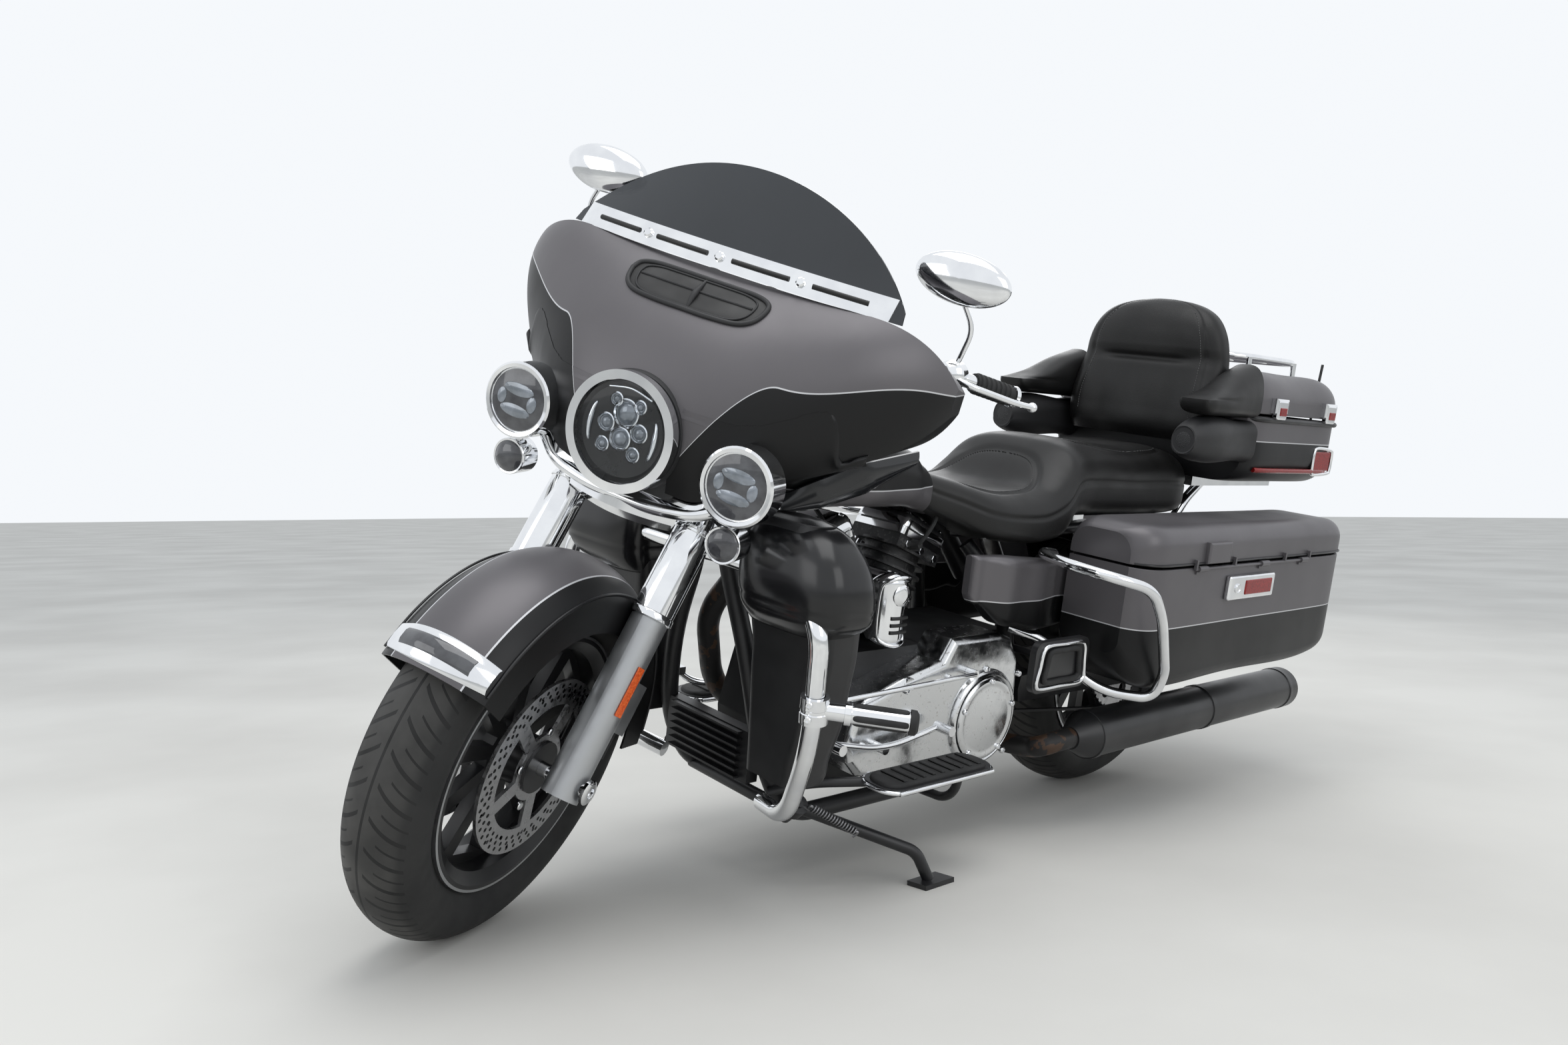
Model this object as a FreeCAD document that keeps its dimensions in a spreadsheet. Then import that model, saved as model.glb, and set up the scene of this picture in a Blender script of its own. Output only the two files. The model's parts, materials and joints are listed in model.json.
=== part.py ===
# Touring cruiser motorcycle, parked leaning on its side stand with the bars turned to the left stop.
# Millimetres. While it is drawn the machine stands upright and steers straight ahead: +X forward,
# +Y to the rider's left, +Z up, with the point below the rear axle as origin. Every sub-part then
# gets the placement of the leaning machine, and what steers gets the turn of the fork before it.
import FreeCAD, Part
import math
import os
import Sketcher
from FreeCAD import Placement, Rotation, Vector

doc = FreeCAD.newDocument("TouringCruiser")
sheet = doc.addObject("Spreadsheet::Sheet", "Sizes")

# Driving dimensions: name, value in millimetres or degrees.
SIZES = [
    ("wheelbase", 1625), ("rake_angle", 26), ("trail", 170), ("fork_angle", 29.25),
    ("lean_angle", 10), ("steer_stop", 28),
    ("tyre_radius", 320), ("front_tyre_width", 130), ("rear_tyre_width", 176),
    ("front_crown", 72), ("rear_crown", 104),
    ("front_rim_radius", 222), ("rear_rim_radius", 212), ("front_rim_width", 110), ("rear_rim_width", 144),
    ("hub_radius", 44), ("axle_radius", 12), ("spoke_count", 10), ("spoke_width", 22),
    ("front_disc_radius", 150), ("disc_thickness", 6), ("front_disc_offset", 66), ("rear_disc_offset", 98),
    ("sprocket_radius", 104), ("belt_width", 10), ("belt_offset", 99.5),
    ("fork_spacing", 250), ("slider_radius", 32), ("fork_cover_radius", 35), ("slider_length", 300),
    ("fork_length", 785), ("head_radius", 34),
    ("frame_tube", 17), ("frame_half_width", 140), ("rail_height", 160),
    ("crank_x", 880), ("crank_height", 330), ("v_angle", 45), ("barrel_radius", 74), ("fin_count", 9),
    ("case_half_width", 105), ("primary_depth", 82), ("clutch_x", 636), ("clutch_radius", 104),
    ("tank_front", 1222), ("tank_rear", 745), ("tank_half_width", 165), ("tank_top", 872),
    ("bag_inner", 192), ("bag_outer", 392), ("bag_top", 640), ("bag_wall", 6), ("lid_height", 88),
    ("box_half_width", 285), ("box_floor", 800), ("box_rim", 965), ("box_wall", 6), ("box_lid_height", 105),
    ("box_front", -140), ("box_rear", -600),
    ("muffler_radius", 52), ("muffler_offset", 262), ("muffler_height", 246),
    ("guard_tube", 16), ("bag_guard_tube", 11), ("bar_tube", 13),
    ("fairing_wall", 5), ("seam", 0.3), ("move_gap", 6),
]
for row, (alias, value) in enumerate(SIZES, start=1):
    sheet.set(f"A{row}", alias)
    sheet.set(f"B{row}", str(value))
    sheet.setAlias(f"B{row}", alias)
doc.recompute()
S = {alias: float(sheet.get(alias)) for alias, value in SIZES}

SIDES = (1, -1)
UP = Vector(0, 0, 1)
ACROSS = Vector(0, 1, 0)
AHEAD = Vector(1, 0, 0)
ALONG_Y = Rotation(AHEAD, -90)
rake = math.radians(S["rake_angle"])
fork = math.radians(S["fork_angle"])
REAR_AXLE = Vector(0, 0, S["tyre_radius"])
FRONT_AXLE = Vector(S["wheelbase"], 0, S["tyre_radius"])
STEER_FOOT = Vector(S["wheelbase"] + S["trail"], 0, 0)
STEER_UP = Vector(-math.sin(rake), 0, math.cos(rake))
FORK_UP = Vector(-math.sin(fork), 0, math.cos(fork))


def steer_at(height, out=0):
    """A point of the steering axis at a height, moved out along it."""
    return STEER_FOOT + STEER_UP * (height / math.cos(rake) + out)


def fork_at(reach, y=0, ahead=0):
    """A point on a fork leg's line, reach millimetres up from the axle."""
    return FRONT_AXLE + FORK_UP * reach + ACROSS * y + Vector(math.cos(fork), 0, math.sin(fork)) * ahead


def turned(angle):
    turn = Rotation(STEER_UP, angle)
    return Placement(STEER_FOOT - turn.multVec(STEER_FOOT), turn)


STEER = turned(S["steer_stop"])


def lowest(pose, axle, crown):
    """The height of a tyre's lowest point: its crown is an arc swept round the axle."""
    axis = pose.Rotation.multVec(ACROSS)
    return pose.multVec(axle).z - (S["tyre_radius"] - crown) * math.sqrt(1 - axis.z**2) - crown


def settled():
    """The lean to the left, with the nose let down until both tyres meet the floor."""
    pitch = 0.0
    for step in range(20):
        pose = Placement(Vector(), Rotation(AHEAD, -S["lean_angle"]) * Rotation(ACROSS, pitch))
        rear = lowest(pose, REAR_AXLE, S["rear_crown"])
        front = lowest(pose.multiply(STEER), FRONT_AXLE, S["front_crown"])
        pitch += math.degrees((front - rear) / S["wheelbase"])
    pose.Base = Vector(0, 0, -rear)
    return pose


LEAN = settled()
nodes = []


def keep(thing, name, steered=False):
    """Names a finished sub-part and leans it, after the fork's turn if it steers."""
    thing.Label = name
    thing.Placement = (LEAN.multiply(STEER) if steered else LEAN).multiply(thing.Placement)
    nodes.append(thing)
    return thing


def feature(name, shapes, steered=False):
    """One node from one or more shapes that don't touch, or are fused beforehand."""
    thing = doc.addObject("Part::Feature", name)
    shapes = shapes if isinstance(shapes, (list, tuple)) else [shapes]
    solids = [solid for shape in shapes for solid in shape.Solids]
    thing.Shape = solids[0] if len(solids) == 1 else Part.makeCompound(solids)
    return keep(thing, name, steered)


def bind(thing, **sizes):
    for prop, formula in sizes.items():
        thing.setExpression(prop, formula)
    return thing


def rod(start, end, radius):
    run = end - start
    return Part.makeCylinder(radius, run.Length, start, run)


def ring(centre, axis, outer, inner, depth):
    start = centre - axis * (depth / 2)
    return Part.makeCylinder(outer, depth, start, axis).cut(Part.makeCylinder(inner, depth, start, axis))


def block(low, high):
    size = Vector(*high) - Vector(*low)
    return Part.makeBox(size.x, size.y, size.z, Vector(*low))


def fused(shapes):
    whole = shapes[0].multiFuse(shapes[1:]) if len(shapes) > 1 else shapes[0]
    return whole.removeSplitter()


def mirrored(shape):
    return shape.mirror(Vector(), ACROSS)


def both(shape):
    return [shape, mirrored(shape)]


def route(points, share=0.45):
    """A wire of straight runs joined by tangent arcs, each as large as its runs allow."""
    points = [Vector(*point) for point in points]
    bends = [corner for before, corner, after in zip(points, points[1:], points[2:])
             if (corner - before).getAngle(after - corner) > 0.01]
    points = points[:1] + bends + points[-1:]
    edges, start = [], points[0]
    for before, corner, after in zip(points, points[1:], points[2:]):
        back, on = (before - corner).normalize(), (after - corner).normalize()
        turn = math.pi - back.getAngle(on)
        cut = share * min((before - corner).Length, (after - corner).Length)
        middle = (back + on).normalize()
        radius = cut / math.tan(turn / 2)
        hub = corner + middle * (radius / math.cos(turn / 2))
        first, last = corner + back * cut, corner + on * cut
        edges += [Part.LineSegment(start, first).toShape(), Part.Arc(first, hub - middle * radius, last).toShape()]
        start = last
    edges.append(Part.LineSegment(start, points[-1]).toShape())
    return Part.Wire(edges)


def tube(points, radius, share=0.45):
    path = route(points, share)
    start = path.Edges[0]
    circle = Part.Circle(Vector(*points[0]), start.tangentAt(start.FirstParameter), radius)
    return path.makePipeShell([Part.Wire(circle.toShape())], True, True)


def section(plane, at, low_u, high_u, low_v, high_v, low_r, high_r):
    """A rounded section normal to x (u, v = y, z) or to z (u, v = x, y): low_r rounds the low v side."""
    corners = [(low_u, low_v, low_r, 180), (high_u, low_v, low_r, 270),
               (high_u, high_v, high_r, 0), (low_u, high_v, high_r, 90)]
    arcs = []
    for u, v, radius, begin in corners:
        hub_u = u + (radius if u == low_u else -radius)
        hub_v = v + (radius if v == low_v else -radius)
        on = [(hub_u + radius * math.cos(math.radians(begin + part)),
               hub_v + radius * math.sin(math.radians(begin + part))) for part in (0, 45, 90)]
        arcs.append([Vector(at, *pair) if plane == "x" else Vector(*pair, at) for pair in on])
    edges = []
    for here, following in zip(arcs, arcs[1:] + arcs[:1]):
        edges += [Part.Arc(*here).toShape(), Part.LineSegment(here[2], following[0]).toShape()]
    return Part.Wire(edges)


def loft(sections, ruled=False):
    return Part.makeLoft(sections, True, ruled)


def eased(lines):
    """Rows of section sizes with a row put in at each third of a long step, so that the skin can't swell."""
    rows = [lines[0]]
    for here, following in zip(lines, lines[1:]):
        if abs(following[0] - here[0]) > 60:
            rows += [tuple(a + (b - a) * share for a, b in zip(here, following)) for share in (1 / 3, 2 / 3)]
        rows.append(following)
    return rows


def body_of(lines, plane="x"):
    """A skin over section rows: where along the plane's normal, then the section's sizes."""
    return loft([section(plane, *line) for line in eased(lines)])


def outline(points, plane, offset, depth):
    """A prism: points (u, v) in the xz or yz plane at an offset, extruded by a depth."""
    if plane == "xz":
        corners, way = [Vector(u, offset, v) for u, v in points], ACROSS
    else:
        corners, way = [Vector(offset, u, v) for u, v in points], AHEAD
    return Part.Face(Part.makePolygon(corners + corners[:1])).extrude(way * depth)


def rounded(shape, radius, pick):
    edges = [edge for edge in shape.Edges if pick(edge)]
    return shape.makeFillet(radius, edges) if edges else shape


def sketch_on(body, role, name):
    plane = next(item for item in body.Origin.OriginFeatures if item.Role == role)
    sketch = body.newObject("Sketcher::SketchObject", name)
    sketch.AttachmentSupport = (plane, "")
    sketch.MapMode = "FlatFace"
    return sketch


def draw(sketch, points):
    """A closed outline of straight lines, joined corner to corner."""
    lines = []
    for start, end in zip(points, points[1:] + points[:1]):
        lines.append(sketch.addGeometry(Part.LineSegment(Vector(*start, 0), Vector(*end, 0)), False))
    for line, following in zip(lines, lines[1:] + lines[:1]):
        sketch.addConstraint(Sketcher.Constraint("Coincident", line, 2, following, 1))


# Wheels: a dished rim and hub turned in one, cut between the spokes.
def tyre(name, axle, width, crown, rim_radius, steered):
    body_radius = S["tyre_radius"]
    half, bead = width / 2, 0.36 * width
    hub = body_radius - crown
    edge_angle = math.asin(min(0.95, (half - 6) / crown))
    edge = (hub + crown * math.cos(edge_angle), crown * math.sin(edge_angle))
    seat_radius = rim_radius - 14

    def at(radius, y):
        return axle + Vector(0, y, radius)

    mid_side = ((edge[0] + rim_radius) / 2, half)
    edges = [
        Part.Arc(at(edge[0], -edge[1]), at(body_radius, 0), at(*edge)),
        Part.Arc(at(*edge), at(*mid_side), at(rim_radius, bead)),
        Part.LineSegment(at(rim_radius, bead), at(seat_radius, bead)),
        Part.LineSegment(at(seat_radius, bead), at(seat_radius, -bead)),
        Part.LineSegment(at(seat_radius, -bead), at(rim_radius, -bead)),
        Part.Arc(at(rim_radius, -bead), at(mid_side[0], -mid_side[1]), at(edge[0], -edge[1])),
    ]
    face = Part.Face(Part.Wire([edge_line.toShape() for edge_line in edges]))
    return feature(name, face.revolve(axle, ACROSS, 360), steered)


def wheel(name, axle, rim, seat, hub_half, steered):
    """A rim, a hub and spokes as a PartDesign body: a revolved profile with a pocket between spokes."""
    body = doc.addObject("PartDesign::Body", name)
    profile = sketch_on(body, "XY_Plane", name + "_profile")
    half = S[rim] / 2
    bead = 0.36 * S[seat]
    outer = S["front_rim_radius"] if steered else S["rear_rim_radius"]
    well, spoke_half, bore = outer - 30, S["spoke_width"] / 2, S["axle_radius"] + 0.3
    side = [(outer - 14.3, bead + 0.5), (outer - 1, bead + 0.5), (outer - 1, half), (outer - 12, half),
            (well, half - 14), (well, spoke_half), (S["hub_radius"], spoke_half),
            (S["hub_radius"], hub_half), (bore, hub_half)]
    draw(profile, side + [(x, -y) for x, y in reversed(side)])
    turn = body.newObject("PartDesign::Revolution", name + "_turned")
    turn.Profile = profile
    turn.ReferenceAxis = (profile, ["V_Axis"])
    turn.Angle = 360
    window = sketch_on(body, "XZ_Plane", name + "_window")
    inner, rim_edge, half_turn = S["hub_radius"] + 16, well - 12, math.pi / S["spoke_count"]
    tips = []
    for radius, width in ((inner, 12), (rim_edge, 16)):
        spread = half_turn - width / radius
        tips += [(radius * math.cos(a), radius * math.sin(a)) for a in ((-spread, spread) if not tips else (spread, -spread))]
    draw(window, tips)
    pocket = body.newObject("PartDesign::Pocket", name + "_gap")
    pocket.Profile = window
    pocket.Midplane = True
    bind(pocket, Length="Sizes.spoke_width * 2")
    doc.recompute()
    pattern = body.newObject("PartDesign::PolarPattern", name + "_gaps")
    pattern.Originals = [pocket]
    pattern.Axis = (window, ["N_Axis"])
    pattern.Angle = 360
    bind(pattern, Occurrences="Sizes.spoke_count")
    body.Tip = pattern
    body.Placement = Placement(axle, Rotation())
    return keep(body, name, steered)


def disc(centre, radius, holes, steered_sign=1):
    """A brake disc: a ring with two rows of small holes, and five arms to the hub."""
    thick = S["disc_thickness"]
    start = centre - ACROSS * (thick / 2)
    plate = Part.makeCylinder(radius, thick, start, ACROSS).cut(Part.makeCylinder(radius - 42, thick, start, ACROSS))
    carrier = Part.makeCylinder(S["hub_radius"] + 14, thick, start, ACROSS)
    arms = []
    for step in range(5):
        arm = Part.makeBox(radius - 24 - S["hub_radius"], thick, 26, start + Vector(S["hub_radius"], 0, -13))
        arms.append(arm.rotate(centre, ACROSS, 72 * step + 20))
    whole = fused([plate, carrier] + arms)
    whole = whole.cut(Part.makeCylinder(S["hub_radius"] + 0.3, thick * 3, start - ACROSS * thick, ACROSS))
    drills = []
    for step in range(holes):
        spot = centre + Vector(radius - (12 if step % 2 else 28), -thick, 0)
        drill = Part.makeCylinder(3.5, thick * 2, spot, ACROSS)
        drills.append(drill.rotate(centre, ACROSS, 360 / holes * step))
    return whole.cut(Part.makeCompound(drills))


tyre("front_tyre", FRONT_AXLE, S["front_tyre_width"], S["front_crown"], S["front_rim_radius"], True)
tyre("rear_tyre", REAR_AXLE, S["rear_tyre_width"], S["rear_crown"], S["rear_rim_radius"], False)
wheel("front_wheel_rim", FRONT_AXLE, "front_rim_width", "front_tyre_width", S["front_disc_offset"] + 8, True)
wheel("rear_wheel_rim", REAR_AXLE, "rear_rim_width", "rear_tyre_width", S["rear_disc_offset"] + 8, False)
feature("front_discs", [disc(FRONT_AXLE + ACROSS * (side * S["front_disc_offset"]), S["front_disc_radius"], 24)
                        for side in SIDES], True)
rear_disc = disc(REAR_AXLE - ACROSS * S["rear_disc_offset"], S["front_disc_radius"], 24)
sprocket_face = REAR_AXLE + ACROSS * S["belt_offset"]
sprocket = ring(sprocket_face, ACROSS, S["sprocket_radius"], S["hub_radius"] + 0.3, S["belt_width"])
teeth = [Part.makeCylinder(4, S["belt_width"] * 2, sprocket_face + Vector(S["sprocket_radius"], -S["belt_width"], 0),
                           ACROSS).rotate(sprocket_face, ACROSS, 10 * step) for step in range(36)]
lightening = [Part.makeCylinder(16, S["belt_width"] * 2, sprocket_face + Vector(72, -S["belt_width"], 0),
                                ACROSS).rotate(sprocket_face, ACROSS, 60 * step) for step in range(6)]
feature("rear_disc_and_sprocket", [rear_disc, sprocket.cut(Part.makeCompound(teeth + lightening))])

# Rear axle, swing arm, belt and shock absorbers.
ARM_INNER, ARM_OUTER, PIVOT = 130, 156, Vector(478, 0, 330)
rear_axle = doc.addObject("Part::Cylinder", "RearAxle")
bind(rear_axle, Radius="Sizes.axle_radius", Height=f"{2 * (ARM_OUTER + 14)}")
rear_axle.Placement = Placement(REAR_AXLE - ACROSS * (ARM_OUTER + 14), ALONG_Y)
keep(rear_axle, "rear_axle")
arm_side = [(-42, 296), (-42, 344), (60, 350), (300, 366), (470, 360), (476, 330), (470, 302), (300, 300), (60, 296)]
arm = outline(arm_side, "xz", ARM_INNER, ARM_OUTER - ARM_INNER)
arm = arm.cut(rod(REAR_AXLE, REAR_AXLE + ACROSS * 200, S["axle_radius"] + 0.3))
crossbar = block((404, -ARM_INNER, 305), (440, ARM_INNER, 360))
arms_whole = fused([arm, mirrored(arm), crossbar])
sheave = Vector(520, S["belt_offset"], 330)


def belt_solid(grow):
    """The belt's outline round both pulleys, grown by its thickness."""
    rear, front = S["sprocket_radius"] + 2 + grow, 58 + grow
    run = sheave - sprocket_face
    slope = math.asin((rear - front) / run.Length)
    tilt = math.atan2(run.z, run.x)
    tops = []
    for hub, radius in ((sprocket_face, rear), (sheave, front)):
        for side in SIDES:
            angle = tilt + side * (math.pi / 2 - slope)
            tops.append(Vector(hub.x + radius * math.cos(angle), 0, hub.z + radius * math.sin(angle)))
    start = S["belt_offset"] - S["belt_width"] / 2
    strap = outline([(p.x, p.z) for p in (tops[0], tops[2], tops[3], tops[1])], "xz", start, S["belt_width"])
    wheels = [Part.makeCylinder(radius, S["belt_width"], Vector(hub.x, start, hub.z), ACROSS)
              for hub, radius in ((sprocket_face, rear), (sheave, front))]
    return fused([strap] + wheels)


feature("drive_belt", belt_solid(6).cut(belt_solid(0)))
SHOCK_LOW, SHOCK_HIGH = Vector(84, 148, 356), Vector(316, 141, 676)
shock_run = (SHOCK_HIGH - SHOCK_LOW).normalize()
shock = fused([rod(SHOCK_LOW, SHOCK_HIGH, 12), rod(SHOCK_LOW + shock_run * 40, SHOCK_LOW + shock_run * 200, 20),
               rod(SHOCK_LOW + shock_run * 215, SHOCK_HIGH - shock_run * 60, 24)])

# Frame: steering head, backbone, down tubes that run on as the cradle, and seat rails.
HEAD_LOW, HEAD_HIGH = 792, 950
head = rod(steer_at(HEAD_LOW), steer_at(HEAD_HIGH), S["head_radius"])
backbone = tube([(1350, 0, 868), (1150, 0, 838), (900, 0, 812), (640, 0, 690), (520, 0, 560)], 24)
half = S["frame_half_width"]
cradle = tube([(1362, 14, 868), (1262, 22, 800), (1238, 36, 640), (1222, 110, 460), (1196, half, 290),
               (1120, half, S["rail_height"]), (640, half, S["rail_height"]), (500, half, 220),
               (500, half - 8, 430), (548, 112, 560), (600, 60, 640)], S["frame_tube"])
seat_rail = tube([(620, 0, 655), (500, 118, 672), (330, 128, 676), (60, 128, 690), (-130, 128, 690)], 12)
ties = [rod(Vector(x, -half, z), Vector(x, half, z), 13) for x, z in ((1120, 172), (500, 240), (500, 420))]
shock = shock.cut(arms_whole).cut(seat_rail)
feature("shock_absorbers", both(max(shock.Solids, key=lambda solid: solid.Volume)))
pivots = both(block((448, 112, 316), (500, ARM_INNER - S["seam"], 344)))
head_cut = Part.makeCylinder(19, 400, steer_at(HEAD_LOW, -80), STEER_UP)
main_frame = fused([head, backbone, cradle, mirrored(cradle), seat_rail, mirrored(seat_rail)] + ties + pivots).cut(head_cut)

# Engine: a crankcase with the gearbox behind it, and two finned barrels in a vee.
CRANK = Vector(S["crank_x"], 0, S["crank_height"])
width = S["case_half_width"]
case_side = [(1085, 190), (1100, 300), (1070, 420), (1000, 445), (760, 445), (700, 425), (660, 455), (480, 455),
             (452, 400), (452, 250), (560, 196), (700, 182)]
case = outline(case_side, "xz", -width, 2 * width)
case = rounded(case, 14, lambda edge: abs(abs(edge.CenterOfMass.y) - width) > 1)
case = case.cut(rod(Vector(500, -200, 240), Vector(500, 200, 240), 13.3))
case = case.cut(rod(Vector(500, -200, 420), Vector(500, 200, 420), 13.3))
pulley_low = S["belt_offset"] - S["belt_width"] / 2
case = case.cut(block((430, pulley_low - 8, 250), (596, width + 1, 404)))
pulley = Part.makeCylinder(57.7, S["belt_width"] + 9, Vector(sheave.x, pulley_low - 9, sheave.z), ACROSS)
case = fused([case, pulley])
feature("crankcase", case)
BARREL_FOOT, FIN_FOOT, FIN_TOP, HEAD_TOP, COVER_TOP = 128, 150, 312, 338, 385
FIN_THICK = 5


def cylinder_parts(lean):
    """One cylinder and its rocker cover, each drawn upright and tipped about the crank."""
    pitch_step = (FIN_TOP - FIN_FOOT) / (S["fin_count"] - 1)
    core = Part.makeCylinder(S["barrel_radius"] - 16, FIN_TOP - BARREL_FOOT, CRANK + UP * BARREL_FOOT)
    fins = [Part.makeCylinder(S["barrel_radius"], FIN_THICK, CRANK + UP * (FIN_FOOT + pitch_step * step))
            for step in range(int(S["fin_count"]))]
    top = Part.makeBox(136, 132, HEAD_TOP - FIN_TOP, CRANK + Vector(-68, -66, FIN_TOP))
    cover = Part.makeBox(140, 134, COVER_TOP - HEAD_TOP - 0.3, CRANK + Vector(-70, -67, HEAD_TOP + 0.3))
    cover = rounded(cover, 16, lambda edge: edge.CenterOfMass.z > CRANK.z + HEAD_TOP + 6)
    barrel = fused([core, top] + fins)
    for shape in (barrel, cover):
        shape.rotate(CRANK, ACROSS, lean)
    return barrel, cover


half_vee = S["v_angle"] / 2
front_barrel, front_cover = cylinder_parts(half_vee)
rear_barrel, rear_cover = cylinder_parts(-half_vee)
clear_case = block((600, -width, 300), (1110, width, 445.3))
front_barrel = front_barrel.cut(clear_case).cut(block((400, -200, 300), (CRANK.x + 1.5, 200, 800)))
rear_barrel = rear_barrel.cut(clear_case).cut(block((CRANK.x - 1.5, -200, 300), (1400, 200, 800)))
feature("cylinders", [front_barrel, rear_barrel, front_cover, rear_cover])

# Left: the primary cover with its round clutch lid. Right: the cam cover, gearbox lid and push rods.
primary_side = [(1016, 258), (1024, 300), (1012, 358), (985, 376), (880, 408), (776, 432), (750, 474), (600, 474),
                (560, 460), (530, 410), (522, 330), (538, 262), (590, 206), (680, 190), (900, 204), (985, 228)]
primary = outline(primary_side, "xz", width + S["seam"], S["primary_depth"])
outer_face = width + S["seam"] + S["primary_depth"]
primary = rounded(primary, 16, lambda edge: abs(edge.CenterOfMass.y - outer_face) < 1)
CLUTCH = Vector(S["clutch_x"], outer_face - 2, 300)
derby = Part.makeCylinder(S["clutch_radius"] - 18, 13, CLUTCH, ACROSS)
derby = rounded(derby, 5, lambda edge: abs(edge.CenterOfMass.y - outer_face - 11) < 1)
lugs = [Part.makeCylinder(13, 20, Vector(x, outer_face - 22, z), ACROSS) for x, z in ((986, 356), (868, 396), (772, 414))]
feature("primary_cover", fused([primary, derby] + lugs))
cam_side = [(1010, 250), (1016, 380), (940, 432), (820, 432), (752, 380), (748, 262), (830, 206), (950, 206)]
gear_side = [(526, 262), (526, 440), (640, 440), (668, 330), (620, 240), (548, 232)]
cam = rounded(outline(cam_side, "xz", -width - S["seam"], -44), 14,
              lambda edge: edge.CenterOfMass.y < -width - 40)
gear = rounded(outline(gear_side, "xz", -width - S["seam"], -36), 12,
               lambda edge: edge.CenterOfMass.y < -width - 34)
rods = []
for lean in (half_vee, -half_vee):
    tip = Rotation(ACROSS, lean)
    for ahead in (-20, 20):
        top = CRANK + tip.multVec(Vector(ahead, -80, 330))
        rods.append(rod(Vector(CRANK.x + ahead + (30 if lean > 0 else -30), -116, 436), top, 9))
feature("cam_and_gear_covers", [cam, gear] + rods)
INTAKE_Z = 578
intake = rod(Vector(CRANK.x, -127.9, INTAKE_Z), Vector(CRANK.x, 104, INTAKE_Z), 25).cut(front_barrel).cut(rear_barrel)
cleaner = Part.makeCylinder(88, 76, Vector(CRANK.x, -128.2, INTAKE_Z + 6), -ACROSS)
cleaner = rounded(cleaner, 16, lambda edge: edge.CenterOfMass.y < -190)
feature("air_cleaner", [cleaner, intake])
horn = loft([section("x", x, y_low, y_high, low, high, r_low, r_high) for x, y_low, y_high, low, high, r_low, r_high in (
    (846, 104.3, 126, 470, 590, 10, 10), (872, 104.3, 150, 462, 604, 16, 22), (900, 104.3, 152, 462, 606, 16, 22),
    (928, 104.3, 128, 474, 590, 10, 10))])
feature("horn_cover", horn)

# Exhaust: both pipes run down the right side; one crosses under the gearbox to the left silencer.
PIPE = 22
muffler_y, muffler_z = S["muffler_offset"], S["muffler_height"]
FRONT_PIPE = [(1056, -30, 590), (1122, -60, 574), (1126, -136, 480), (1060, -178, 320), (960, -196, 246),
              (600, -200, 244), (480, -250, muffler_z), (440, -muffler_y, muffler_z), (415.3, -muffler_y, muffler_z)]
REAR_PIPE = [(706, -30, 585), (668, -92, 570), (700, -162, 480), (700, -194, 400), (668, -198, 300), (610, -200, 250),
             (540, -216, 246)]
CROSS_PIPE = [(540, -214, 242), (492, -190, 220), (466, -120, 200), (466, 120, 200), (476, 200, 214),
              (500, 250, 236), (450, muffler_y, muffler_z), (415.3, muffler_y, muffler_z)]
front_pipe, rear_pipe, cross_pipe = (tube(path, PIPE) for path in (FRONT_PIPE, REAR_PIPE, CROSS_PIPE))
exhaust = fused([front_pipe, rear_pipe, cross_pipe])
exhaust = exhaust.cut(front_barrel).cut(rear_barrel)
feature("exhaust_pipes", exhaust)
MUFFLER_FRONT, MUFFLER_REAR = 415, -560
can = rod(Vector(360, muffler_y, muffler_z), Vector(MUFFLER_REAR, muffler_y, muffler_z), S["muffler_radius"])
cone = Part.makeCone(S["muffler_radius"], PIPE + 3, 55, Vector(360, muffler_y, muffler_z), AHEAD)
mouth = rod(Vector(MUFFLER_REAR - 1, muffler_y, muffler_z), Vector(MUFFLER_REAR + 90, muffler_y, muffler_z), 36)
muffler = fused([can, cone]).cut(mouth)
feature("mufflers", both(muffler))

# Bodywork: tank, seat, side covers and the rear fender.
TANK = [(1228, 112, 770, 842, 30, 34), (1192, 148, 750, 864, 36, 44), (1120, 165, 736, 874, 40, 56),
        (980, 162, 734, 866, 40, 58), (860, 138, 730, 840, 36, 50), (780, 104, 716, 800, 28, 38), (738, 74, 708, 752, 18, 20)]
tank = body_of([(x, -half_y, half_y, low, high, r_low, r_high) for x, half_y, low, high, r_low, r_high in TANK])
tunnel = tube([(1350, 0, 868), (1150, 0, 838), (900, 0, 812), (640, 0, 690), (520, 0, 560)], 24 + S["seam"])
tank_outside = tank
tank = tank.cut(tunnel).cut(block((600, -24.3, 600), (1300, 24.3, 812)))
tank = tank.cut(block((1190, -46, 700), (1300, 46, 836)))
feature("fuel_tank", tank)
console = body_of([(x, -half_y, half_y, low, high, 4, 12) for x, half_y, low, high in (
    (1180, 34, 850, 886), (1120, 44, 850, 898), (960, 46, 850, 888), (840, 38, 800, 856))])
feature("tank_console", console.cut(tank_outside).cut(tunnel))
SEAT = [(838, 66, 742, 822, 20, 26), (780, 108, 718, 800, 26, 34), (660, 168, 664, 778, 30, 40),
        (520, 190, 650, 776, 30, 44), (430, 192, 656, 824, 30, 46), (380, 180, 700, 868, 30, 40),
        (300, 168, 702, 872, 30, 34), (140, 172, 702, 866, 30, 34), (-20, 176, 704, 868, 30, 34), (-100, 160, 706, 862, 30, 30)]
seat = body_of([(x, -half_y, half_y, low, high, r_low, r_high) for x, half_y, low, high, r_low, r_high in SEAT])
seat = seat.cut(tank_outside)
seat = max(seat.Solids, key=lambda solid: solid.Volume)
seat = seat.cut(tunnel).cut(block((560, -72, 600), (900, 72, 738))).cut(block((-140, -146, 600), (652, 146, 702.6)))
seat = max(seat.Solids, key=lambda solid: solid.Volume)
feature("seat", seat)
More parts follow.
